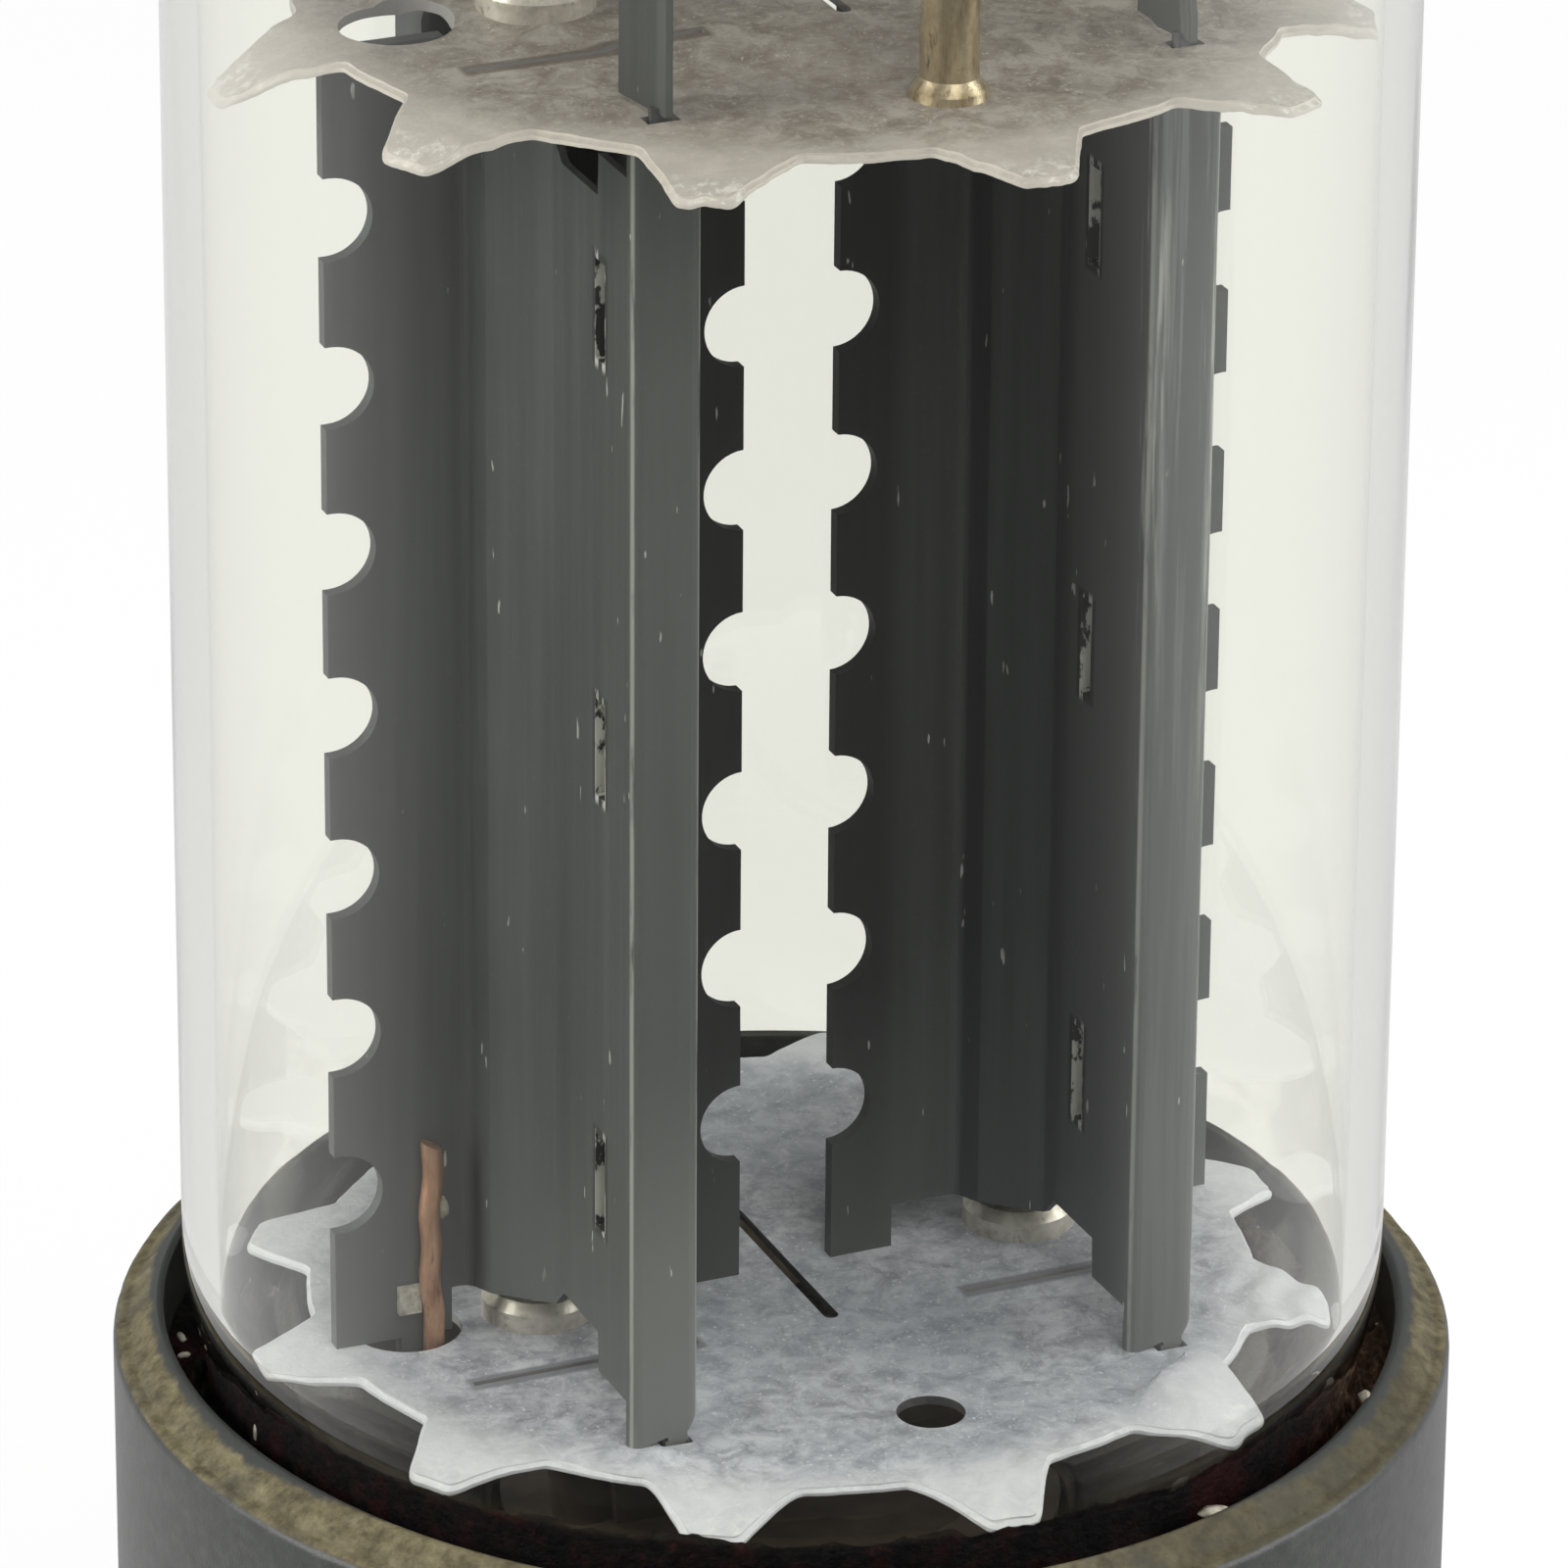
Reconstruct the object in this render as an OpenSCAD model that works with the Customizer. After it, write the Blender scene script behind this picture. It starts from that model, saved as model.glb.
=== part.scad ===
// Full-wave rectifier tube on an eight-pin octal base. Millimetres, +Z up.
// The origin is the bottom centre of the base's key. +X runs along the line of the two anodes,
// and -Y is the front, where the anode lead of the left anode shows.

/* [Base] */
// Gap between the bulb and the base's inner wall
base_gap = 0.55; // [0.45:0.05:1.6]
// Height of the base from its underside to its rim
base_h = 15; // [14:0.5:22]
// Thickness of the base's wall
base_wall = 1.3; // [1:0.05:1.35]
// Width and depth of the bevel inside the rim
rim_bevel = 0.46; // [0.2:0.02:0.7]
// Thickness of the base's floor
floor_t = 2.6; // [2:0.1:4]
// Depth of the cement's surface below the rim
cement_drop = 1.3; // [0.8:0.1:2]
// How far the cement reaches below the glass
cement_under = 0.6; // [0.3:0.1:2]

/* [Key] */
// Radius of the locating key
key_r = 3.95; // [3.6:0.05:4.6]
// Length of the key below the base
key_len = 14.2; // [12.5:0.1:18]
// Thickness of the key's wall and end
key_wall = 1; // [0.8:0.05:1.4]
// Width of the key's rib
rib_w = 2.2; // [1.4:0.1:3]
// How far the rib stands out
rib_out = 0.9; // [0.5:0.05:1.4]

/* [Pins] */
// Outer radius of a contact pin
pin_r = 1.18; // [1.05:0.01:1.4]
// Length of a pin below the base
pin_len = 11.1; // [9:0.1:12]
// Diameter of the pin circle
pin_circle = 17.45; // [16.5:0.05:20]
// Radius of the wire's bore in a pin
pin_bore_r = 0.7; // [0.5:0.05:0.75]

/* [Bulb] */
// Outer radius of the bulb
bulb_r = 15.75; // [15.6:0.05:16.1]
// Thickness of the glass
glass_t = 0.95; // [0.7:0.05:1]
// Height of the bulb's top above the base's rim
bulb_h = 53; // [50:0.5:62]
// Radius of the shoulder below the crown
shoulder_r = 9; // [8:0.5:11]
// Radius of the crown
crown_r = 18; // [17:0.5:22]
// Radius of the turn at the bulb's bottom
bottom_r = 7.5; // [6:0.1:8.5]
// Height above the rim where the bottom's turn begins
bottom_start = 2.8; // [2:0.1:4]

/* [Stem] */
// Distance of the seal between bulb and stem inside the bulb's outer face
seal_in = 7.15; // [6.3:0.05:7.7]
// Length of the glass press along X
press_l = 10.8; // [10:0.2:12]
// Thickness of the glass press
press_w = 3; // [2.2:0.1:4]
// Depth of the press's top below the rim
press_drop = 3; // [2.8:0.1:3.4]
// Outer radius of the exhaust tube
exhaust_r = 1.5; // [1.2:0.05:1.6]
// Wall of the exhaust tube
exhaust_wall = 0.6; // [0.4:0.05:0.8]

/* [Micas] */
// Height of the lower mica's top face above the rim
cage_lift = 1.65; // [1.5:0.05:2.6]
// Thickness of a mica
mica_t = 0.25; // [0.15:0.05:0.4]
// Number of teeth round a mica
mica_teeth = 12; // [9:1:14]
// Radius of a mica between its teeth
mica_r = 12.55; // [12.4:0.05:13.2]
// Width of a tooth at its root
tooth_root_w = 3.9; // [3:0.1:4.4]
// Width of a tooth at its tip
tooth_tip_w = 1.5; // [0.8:0.1:2.2]
// How far the lower mica's rim is bent down
lower_droop = 0.3; // [0.2:0.05:0.7]
// How far the upper mica's rim is bent down
upper_droop = 0.55; // [0.3:0.05:1]
// Radius of the two lead holes in a mica
lead_hole_r = 1.4; // [1.2:0.05:1.5]
// Width of the centre slot
slot_w = 0.4; // [0.25:0.05:0.6]
// Width of the long slits
slit_w = 0.2; // [0.1:0.02:0.3]

/* [Anodes] */
// Length of the anodes between the micas
anode_len = 35.65; // [34:0.05:38]
// Distance of an anode's middle from the tube's axis
anode_x = 6.87; // [6.8:0.01:7]
// Half the width of an anode across its flanges
anode_half_w = 5.56; // [5.3:0.02:5.7]
// Thickness of the anode sheet
sheet_t = 0.2; // [0.14:0.02:0.24]
// Half the width of the chamber round the cathode
chamber_half_w = 1.95; // [1.8:0.05:2.2]
// Distance of the fin's root from the joint of the halves
fin_root = 3.1; // [2.9:0.05:3.4]
// Distance of the fin's front from the joint of the halves
fin_reach = 8.2; // [7.8:0.05:8.4]
// Width of the fin
fin_w = 1.85; // [1.7:0.05:2.2]
// Offset of the fins to +X
fin_shift = 0.17; // [-0.2:0.01:0.2]
// Outer radius of the bends
bend_r = 0.3; // [0.26:0.02:0.4]
// Number of notches along a flange
notches = 7; // [3:1:7]
// Distance from notch to notch
notch_pitch = 4.47; // [3.6:0.01:4.5]
// Radius of a notch
notch_r = 1.1; // [0.8:0.05:1.3]
// Depth of a notch in the outer flange
notch_depth = 1.25; // [1:0.05:1.5]
// Width of the inner foot
inner_foot_w = 1.75; // [1.4:0.05:2.2]
// Width of the outer foot
outer_foot_w = 3.1; // [2.4:0.05:3.4]
// Height of the cut between the feet
foot_relief = 1.2; // [0.8:0.05:1.6]
// Height of the cut under the fin's root
fin_relief = 2.35; // [1.8:0.05:2.6]
// Width of a pinch in the fin's side
pinch_w = 0.6; // [0.5:0.05:1]
// Height of a pinch
pinch_h = 2.6; // [2:0.1:3.2]
// Depth of a pinch
pinch_d = 0.35; // [0.25:0.05:0.45]

/* [Cathodes and heaters] */
// Outer radius of a cathode sleeve
cathode_r = 1; // [0.9:0.02:1.1]
// Wall of a cathode sleeve
cathode_wall = 0.15; // [0.1:0.01:0.17]
// How far a cathode stands past each mica
cathode_over = 1.15; // [1:0.05:1.25]
// Radius of the coated heater wire
heater_r = 0.3; // [0.24:0.01:0.32]
// Distance of a heater leg from its cathode's axis
heater_leg = 0.45; // [0.4:0.01:0.47]

/* [Leads] */
// Radius of the lead wires
lead_r = 0.27; // [0.22:0.01:0.3]
// Height above the lower mica where an anode lead ends
weld_top = 5.2; // [4:0.1:7]
// Distance of the inner leads in the press from its middle
press_in = 2.3; // [2.2:0.05:2.7]
// Distance of the outer leads in the press from its middle
press_out = 4.7; // [4.2:0.1:5]

/* [Getter] */
// Distance of the getter's post in front of the axis
post_y = 9.15; // [9:0.05:9.6]
// Outer radius of the post
post_r = 0.72; // [0.6:0.02:0.76]
// Height of the post above the upper mica
post_h = 4.6; // [3:0.1:6]
// Height of the getter ring above the upper mica
ring_lift = 8.4; // [7:0.1:9.5]
// Outer radius of the getter ring
ring_r = 5.2; // [4:0.1:6]

/* [Hidden] */
$fn = 64;
eps = 0.05;

// Heights
seat_z = key_len;
rim_z = seat_z + base_h;
floor_z = seat_z + floor_t;
base_in_r = bulb_r + base_gap;
base_r = base_in_r + base_wall;
bulb_top = rim_z + bulb_h;
bulb_in_r = bulb_r - glass_t;
lower_z = rim_z + cage_lift;
upper_z = lower_z + anode_len;
upper_top = upper_z + mica_t;
press_top = rim_z - press_drop;

// Bulb profile: shoulder and crown meet where their radii line up
shoulder_x = bulb_r - shoulder_r;
shoulder_lift = sqrt(pow(crown_r - shoulder_r, 2) - pow(shoulder_x, 2));
crown_z = bulb_top - crown_r;
shoulder_z = crown_z + shoulder_lift;
crown_angle = atan2(shoulder_lift, shoulder_x);

// Bulb bottom: a turn, then a cone tangent to it down to the seal
turn_angle = 50;
seal_r = bulb_r - seal_in;
turn_x = bulb_r - bottom_r;
turn_z = rim_z + bottom_start;
turn_end = [turn_x + bottom_r * cos(turn_angle), turn_z - bottom_r * sin(turn_angle)];
seal_z = turn_end.y - (turn_end.x - seal_r) * cos(turn_angle) / sin(turn_angle);
press_base = seal_z + 1.1;
flare_r = press_l / 2 + 0.25;

// Contact pins, counted from the key
pin_first = 292.5;
pin_step = 45;
pin_tip = seat_z - pin_len;
pin_head_h = 1;
pin_neck_r = pin_r - 0.18;
pin_sink = 0.08;
pin_bore_h = 1.6;
function pin_angle(i) = pin_first + pin_step * (i - 1);
function pin_at(i) = [cos(pin_angle(i)), sin(pin_angle(i))] * pin_circle / 2;

// Micas
tooth_gap = 0.1;
upper_turn = -1.3;
post_x = 0.15;
lower_tip_r = glass_in_at(lower_z - mica_t - lower_droop) - tooth_gap;
upper_tip_r = bulb_in_r - tooth_gap;
lead_hole = [anode_x + 3.5, 0.3];
slot_half = 3.2;
slit_y = 3.3;
slit_in = anode_x - 3.1;
slit_out = anode_x + 3.05;
cathode_fit = 0.12;

// Anodes
tab_w = 0.55;
tab_shift = 0.45;
tab_fit = 0.15;
twist_w = 2.1;
twist_h = 3.2;
twist_turn = 80;
twist_in = 0.65;
foot_tab_w = 1.1;
foot_tab_h = 1.2;
notch_first = -(notches - 1) / 2 * notch_pitch;
pinch_places = [-11.2, 0.8, 12.5];
function pinch_at(side) = fin_root + (side > 0 ? 0.6 : 0.36) * (fin_reach - fin_root);
wall_y = fin_reach - sheet_t / 2;

// Wires below the lower mica
wire_y = sheet_t + lead_r;
wire_x = anode_x + 3.05;
sleeve_bottom = lower_z - mica_t - cathode_over;
leg_bottom = sleeve_bottom - 0.55;
heater_run_z = leg_bottom - 0.95;
anode_run_z = press_top + 0.6;
link_z = leg_bottom - 0.5;
link_y = 1.7;
run_y = -1.25;
strap_z = sleeve_bottom + 0.1;
strap_t = 0.2;
strap_w = 1.5;
pin_wire_z = floor_z + pin_head_h + 1;

function unit(a) = a / norm(a);
function left_of(a) = [-a.y, a.x];
function turned(a, w) = [a.x * cos(w) - a.y * sin(w), a.x * sin(w) + a.y * cos(w)];

// Inner radius of the bulb at height z, from the turn upwards
function glass_in_at(z) =
    z > turn_z ? bulb_in_r
    : turn_x + sqrt(pow(bottom_r - glass_t, 2) - pow(turn_z - z, 2));

// A corner of a path replaced by an arc
function corner(p, q, s, r, n) =
    let (a = unit(q - p), b = unit(s - q),
         turn = atan2(a.x * b.y - a.y * b.x, a * b),
         start = q - a * r * tan(abs(turn) / 2),
         arm = left_of(a) * sign(turn) * r)
    [for (k = [0:n]) start + arm - turned(arm, turn * k / n)];

// A path with every inner corner rounded
function rounded(path, r, n) =
    let (last = len(path) - 1)
    concat([path[0]],
           [for (i = [1:last - 1]) each corner(path[i - 1], path[i], path[i + 1], r, n)],
           [path[last]]);

// A path moved to its right-hand side by d
function shifted(path, d) =
    let (last = len(path) - 1)
    [for (i = [0:last])
        let (a = unit(path[max(i, 1)] - path[max(i, 1) - 1]),
             b = unit(path[min(i, last - 1) + 1] - path[min(i, last - 1)]),
             m = unit(left_of(a) + left_of(b)))
        path[i] - m * d / (m * left_of(a))];

function reversed(a) = [for (i = [len(a) - 1:-1:0]) a[i]];
function mirrored(path) = [for (p = reversed(path)) [-p.x, p.y]];

// Turns +X to the direction a and +Y to the direction n, which is square to a
module facing(a, n) {
    m = cross(a, n);
    upright = abs(a.z) > 0.9999;
    rotate([upright ? 0 : atan2(n.z, m.z), -asin(a.z),
            upright ? atan2(-n.x, n.y) : atan2(a.y, a.x)])
        children();
}

// Round wire along a list of points, with an arc at each bend
module wire(points, r, turn_r = 0.4) {
    last = len(points) - 1;
    way = [for (i = [0:last - 1]) unit(points[i + 1] - points[i])];
    trim = [for (i = [0:last])
        i == 0 || i == last ? 0 : turn_r * tan(acos(way[i - 1] * way[i]) / 2)];
    for (i = [0:last - 1]) {
        start = points[i] + way[i] * (i == 0 ? 0 : trim[i] - eps);
        run = points[i + 1] - way[i] * (i == last - 1 ? 0 : trim[i + 1] - eps) - start;
        translate(start) rotate([0, acos(way[i].z), atan2(way[i].y, way[i].x)])
            cylinder(h = norm(run), r = r, $fn = 24);
    }
    for (i = [1:1:last - 1]) {
        side = unit(way[i] - way[i - 1] * (way[i - 1] * way[i]));
        translate(points[i] - way[i - 1] * trim[i]) facing(way[i - 1], side)
            translate([0, turn_r, 0]) rotate(-90)
                rotate_extrude(angle = acos(way[i - 1] * way[i]), $fn = 48)
                    translate([turn_r, 0]) circle(r = r + 0.01, $fn = 24);
    }
}

// Half profile of the bulb, drawn in by a distance from its outer face
module bulb_profile(inset) {
    translate([0, turn_z]) square([bulb_r - inset, shoulder_z - turn_z]);
    intersection() {
        translate([shoulder_x, shoulder_z]) circle(r = shoulder_r - inset, $fn = 96);
        translate([0, shoulder_z]) square([bulb_r, shoulder_r]);
    }
    intersection() {
        translate([0, crown_z]) circle(r = crown_r - inset, $fn = 128);
        polygon([[0, crown_z], [0, bulb_top + 1],
                 [(bulb_top + 1 - crown_z) / tan(crown_angle), bulb_top + 1]]);
        translate([0, shoulder_z - eps]) square([bulb_r, bulb_top]);
    }
    intersection() {
        translate([turn_x, turn_z]) circle(r = bottom_r - inset, $fn = 96);
        translate([turn_x - 1, turn_z - bulb_r]) square(bulb_r);
    }
}

// Whole bulb without its hollow, drawn in by a distance from its outer face
module bulb_body(inset) {
    rotate_extrude($fn = 128) bulb_profile(inset);
    rotate_extrude($fn = 128)
        polygon([[0, turn_z + 1], [turn_x, turn_z + 1],
                 turn_end - [cos(turn_angle), -sin(turn_angle)] * (inset + 0.03),
                 [seal_r, seal_z] - [cos(turn_angle), -sin(turn_angle)] * (inset + 0.03),
                 [0, seal_z + inset]]);
}

module base_shell() {
    color([0.2, 0.215, 0.22])
    difference() {
        union() {
            rotate_extrude($fn = 128)
                polygon([[0, seat_z], [base_r - 0.9, seat_z], [base_r, seat_z + 0.9],
                         [base_r, rim_z], [0, rim_z]]);
            rotate_extrude()
                polygon([[0, 0], [key_r - 0.8, 0], [key_r, 0.8], [key_r, seat_z + eps],
                         [0, seat_z + eps]]);
            key_rib();
        }
        translate([0, 0, floor_z]) cylinder(h = base_h, r = base_in_r, $fn = 128);
        translate([0, 0, rim_z - rim_bevel])
            cylinder(h = rim_bevel + eps, r1 = base_in_r, r2 = base_in_r + rim_bevel + eps,
                     $fn = 128);
        translate([0, 0, key_wall]) cylinder(h = floor_z, r = key_r - key_wall);
        for (i = [1:8]) translate([pin_at(i).x, pin_at(i).y, seat_z - eps]) {
            cylinder(h = floor_t + 2 * eps, r = pin_neck_r, $fn = 32);
            cylinder(h = pin_sink + eps, r = pin_r, $fn = 32);
        }
    }
}

// Rib on the front of the key, tapered at its lower end
module key_rib() {
    translate([-rib_w / 2, 0, 0]) rotate([90, 0, 90])
        linear_extrude(rib_w)
            polygon([[-key_r + 0.6, 0.9], [-key_r - rib_out + 0.4, 0.9],
                     [-key_r - rib_out, 1.8], [-key_r - rib_out, seat_z + eps],
                     [-key_r + 0.6, seat_z + eps]]);
}

// Cement between the base and the bulb, up against the glass down to the seal
module base_cement() {
    top_z = rim_z - cement_drop;
    low_z = seal_z - cement_under;
    color([0.12, 0.08, 0.07])
    difference() {
        rotate_extrude($fn = 128)
            polygon([[base_in_r, top_z], [base_in_r, low_z + 0.4], [seal_r + 1, low_z],
                     [seal_r + 0.3, low_z], [seal_r + 0.3, seal_z + 1],
                     [turn_end.x - 2, turn_end.y - 0.4], [turn_end.x, top_z + 0.3]]);
        bulb_body(0);
    }
}

module glass_bulb() {
    color([0.88, 0.9, 0.88, 0.35])
    difference() {
        bulb_body(0);
        bulb_body(glass_t);
        cylinder(h = seal_z + 2 * glass_t, r = seal_r - glass_t, $fn = 128);
    }
}

// Flare, press and exhaust tube, fused into one piece of glass
module glass_stem() {
    tip_z = key_wall + 3;
    color([0.8, 0.84, 0.82, 0.4])
    difference() {
        union() {
            rotate_extrude($fn = 64)
                polygon([[seal_r - glass_t, seal_z], [seal_r - glass_t, seal_z + glass_t],
                         [flare_r, press_base + 0.7], [0, press_base + 0.7],
                         [0, press_base - 0.3], [flare_r - 0.7, press_base - 0.3],
                         [seal_r - 2 * glass_t, seal_z]]);
            translate([-press_l / 2, -press_w / 2, press_base])
                cube([press_l, press_w, press_top - press_base]);
            for (side = [-1, 1]) translate([side * press_l / 2, 0, press_base])
                cylinder(h = press_top - press_base, r = press_w / 2 - 0.3, $fn = 32);
            translate([0, 0, tip_z]) cylinder(h = press_base - tip_z, r = exhaust_r, $fn = 32);
            translate([0, 0, tip_z]) sphere(r = exhaust_r, $fn = 32);
        }
        translate([0, 0, tip_z]) cylinder(h = press_base - tip_z - 0.2,
                                          r = exhaust_r - exhaust_wall, $fn = 32);
        for (side = [-1, 1], x = [press_in, press_out]) translate([side * x, 0, seal_z - 1])
            cylinder(h = 2 * bulb_r, r = lead_r, $fn = 24);
    }
}

// Contact pin: a round tip, a shoulder sunk in the floor, a neck through it, and a swaged head
// with a blind hole for its wire
module contact_pin(i) {
    color([0.72, 0.7, 0.64])
    translate([pin_at(i).x, pin_at(i).y, 0])
        rotate_extrude($fn = 32)
            polygon([[0, pin_tip], [pin_r * 0.5, pin_tip], [pin_r * 0.85, pin_tip + 0.25],
                     [pin_r, pin_tip + 0.7], [pin_r, seat_z + pin_sink],
                     [pin_neck_r, seat_z + pin_sink],
                     [pin_neck_r, floor_z], [pin_r + 0.45, floor_z],
                     [pin_r + 0.3, floor_z + pin_head_h], [pin_bore_r, floor_z + pin_head_h],
                     [pin_bore_r, floor_z - pin_bore_h], [0, floor_z - pin_bore_h]]);
}

// Outline of a mica: a disc with blunt teeth, one of them at the front
module mica_outline(tip_r) {
    circle(r = mica_r, $fn = 96);
    for (i = [0:mica_teeth - 1]) rotate(-90 + i * 360 / mica_teeth)
        polygon([[0, -tooth_root_w / 2], [mica_r * 0.985, -tooth_root_w / 2],
                 [tip_r - 0.12, -tooth_tip_w / 2], [tip_r, 0.18 - tooth_tip_w / 2],
                 [tip_r, tooth_tip_w / 2 - 0.18], [tip_r - 0.12, tooth_tip_w / 2],
                 [mica_r * 0.985, tooth_root_w / 2], [0, tooth_root_w / 2]]);
}

// Holes and slots of a mica, those for the fins' tabs moved to +X by tab_at
module mica_holes(tab_at) {
    for (side = [-1, 1]) {
        translate([side * anode_x, 0]) circle(r = cathode_r + cathode_fit, $fn = 32);
        translate([side * lead_hole.x, lead_hole.y]) circle(r = lead_hole_r, $fn = 48);
        translate([post_x, side * post_y]) circle(r = post_r + 0.16, $fn = 32);
        for (fold = [-1, 1]) {
            translate([side * (slit_in + slit_out) / 2, fold * slit_y])
                square([slit_out - slit_in, slit_w], center = true);
            translate([side * anode_x + tab_at, fold * wall_y])
                square([tab_w + 2 * tab_fit, sheet_t + 2 * tab_fit], center = true);
        }
        translate([0, side * slot_half]) circle(r = slot_w / 2, $fn = 24);
    }
    square([slot_w, 2 * slot_half], center = true);
}

// Punched mica whose rim is bent down where it meets the bulb, its teeth turned by turn
module mica(top_z, tip_r, droop, turn, tab_at) {
    bend_in = max(mica_r - 0.1, anode_x + anode_half_w + 0.05);
    difference() {
        intersection() {
            translate([0, 0, top_z - mica_t - 2 * droop])
                linear_extrude(mica_t + 3 * droop) rotate(turn) mica_outline(tip_r);
            translate([0, 0, top_z]) rotate_extrude($fn = 96)
                polygon([[0, 0], [bend_in, 0], [(bend_in + tip_r) / 2, -0.3 * droop],
                         [tip_r + 1, -droop * 1.5], [tip_r + 1, -droop * 1.5 - mica_t],
                         [(bend_in + tip_r) / 2, -0.3 * droop - mica_t],
                         [bend_in, -mica_t], [0, -mica_t]]);
        }
        translate([0, 0, top_z - mica_t - 1]) linear_extrude(mica_t + 2) mica_holes(tab_at);
    }
}

module lower_mica() {
    color([0.86, 0.87, 0.88]) mica(lower_z, lower_tip_r, lower_droop, 0, tab_shift);
}

module upper_mica() {
    color([0.72, 0.69, 0.66]) mica(upper_top, upper_tip_r, upper_droop, upper_turn, 0);
}

// Outer face of one side of a half anode across the tube. Y is away from the joint.
function half_side(off) = [[-anode_half_w, sheet_t], [-chamber_half_w, sheet_t],
    [-chamber_half_w + 0.15, fin_root * 0.4], [off - fin_w / 2, fin_root],
    [off - fin_w / 2, fin_reach]];

// Section of a half anode, its fin moved to +X by off
module half_profile(off) {
    outer = rounded(concat(half_side(off), mirrored(half_side(-off))), bend_r, 4);
    polygon(concat(outer, reversed(shifted(outer, sheet_t))));
}

// Cut below the fin and the chamber, from the joint outwards
module end_relief() {
    inner = anode_half_w - inner_foot_w;
    outer = anode_half_w - outer_foot_w;
    low = foot_relief + 0.05;
    rotate([90, 0, 90]) translate([0, 0, -inner])
        linear_extrude(inner + outer)
            polygon([[-1, -1], [-1, foot_relief], [sheet_t + 0.1, foot_relief],
                     [fin_root, 0.75 * fin_relief], [fin_root + 0.6, fin_relief],
                     [fin_root + 2.9, fin_relief], [fin_root + 2.95, low],
                     [fin_reach - 0.35, low], [fin_reach - 0.35, -1]]);
}

// One folded half anode on z = 0, its outer flange towards +X and its fin moved by off
module half_anode(off) {
    difference() {
        union() {
            linear_extrude(anode_len) half_profile(off);
            for (z = pinch_places, side = [-1, 1])
                translate([off + side * (fin_w - pinch_d - sheet_t) / 2, pinch_at(side),
                           anode_len / 2 + z])
                    cube([pinch_d + sheet_t - 0.1, pinch_w + sheet_t, pinch_h + sheet_t],
                         center = true);
        }
        for (z = pinch_places, side = [-1, 1])
            translate([off + side * (fin_w / 2 - pinch_d + 1), pinch_at(side),
                       anode_len / 2 + z])
                cube([2, pinch_w, pinch_h], center = true);
        for (i = [0:notches - 1]) {
            z = anode_len / 2 + notch_first + i * notch_pitch;
            flange_notch(anode_half_w, z, notch_depth);
            mirror([1, 0, 0]) flange_notch(anode_half_w, z, notch_depth - 0.15);
        }
        end_relief();
        translate([0, 0, anode_len]) mirror([0, 0, 1]) end_relief();
    }
}

// Round-bottomed notch in the edge of a flange
module flange_notch(edge, z, depth) {
    translate([edge - depth + notch_r, 1, z]) rotate([90, 0, 0]) {
        cylinder(h = 2, r = notch_r, $fn = 48);
        translate([0, -notch_r, 0]) cube([2 * notch_r, 2 * notch_r, 2]);
    }
}

// Tabs of a front or rear half: a straight one below, a long twisted one above
module fin_tabs() {
    translate([tab_shift - tab_w / 2, wall_y - sheet_t / 2, -mica_t - 0.25])
        cube([tab_w, sheet_t, mica_t + 0.25 + eps]);
    translate([-tab_w / 2, wall_y - sheet_t / 2, anode_len - eps])
        cube([tab_w, sheet_t, mica_t + 0.3 + eps]);
    translate([-twist_in / tan(twist_turn), wall_y - twist_in, anode_len + mica_t + 0.15])
        rotate(twist_turn) translate([-twist_w / 2, -sheet_t / 2, 0])
            cube([twist_w, sheet_t, twist_h]);
}

// Foot that reaches down through the lead hole
module foot_tab() {
    translate([lead_hole.x - anode_x - foot_tab_w + 0.35, 0, -foot_tab_h])
        cube([foot_tab_w, sheet_t, foot_tab_h + eps]);
}

// Cuts in the foot of a fin's front wall: a blunt corner, and a nick beside the tab
module fin_foot_cuts() {
    edge = fin_shift + fin_w / 2;
    translate([0, fin_reach + 0.5, 0]) rotate([90, 0, 0]) linear_extrude(1) {
        polygon([[edge - 0.33, -1], [edge - 0.33, 0.25], [edge + 0.1, 0.9], [edge + 0.1, -1]]);
        polygon([[edge - 1.55, -0.01], [edge - 0.85, 0.17], [edge - 0.85, -0.01]]);
    }
}

// A half anode set in its place: side is -1 left or 1 right, face is -1 front or 1 rear
module placed_half(side, face) {
    color([0.345, 0.352, 0.352])
    translate([side * anode_x, 0, lower_z]) mirror([0, face > 0 ? 0 : 1, 0]) {
        difference() {
            mirror([side > 0 ? 0 : 1, 0, 0]) {
                half_anode(side * fin_shift);
                foot_tab();
            }
            fin_foot_cuts();
        }
        fin_tabs();
    }
}

module cathode(side) {
    color([0.86, 0.85, 0.82])
    translate([side * anode_x, 0, sleeve_bottom]) difference() {
        cylinder(h = upper_top + cathode_over - sleeve_bottom, r = cathode_r, $fn = 48);
        translate([0, 0, -1])
            cylinder(h = anode_len * 2, r = cathode_r - cathode_wall, $fn = 48);
    }
}

// Hairpin of coated wire inside a cathode
module heater(side) {
    top = upper_z - 1;
    color([0.93, 0.92, 0.9])
    translate([side * anode_x, 0, 0]) {
        for (leg = [-1, 1]) translate([leg * heater_leg, 0, leg_bottom])
            cylinder(h = top - leg_bottom, r = heater_r, $fn = 24);
        translate([0, 0, top]) rotate([90, 0, 0])
            rotate_extrude(angle = 180, $fn = 48) translate([heater_leg, 0])
                circle(r = heater_r, $fn = 24);
    }
}

// Collar that locates a cathode on a mica
module eyelet(side, z) {
    color([0.8, 0.78, 0.74])
    translate([side * anode_x, 0, z])
        rotate_extrude($fn = 48)
            polygon([[cathode_r, 0], [cathode_r + 0.5, 0], [cathode_r + 0.5, 0.5],
                     [cathode_r + 0.3, 0.8], [cathode_r, 0.8]]);
}

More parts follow.
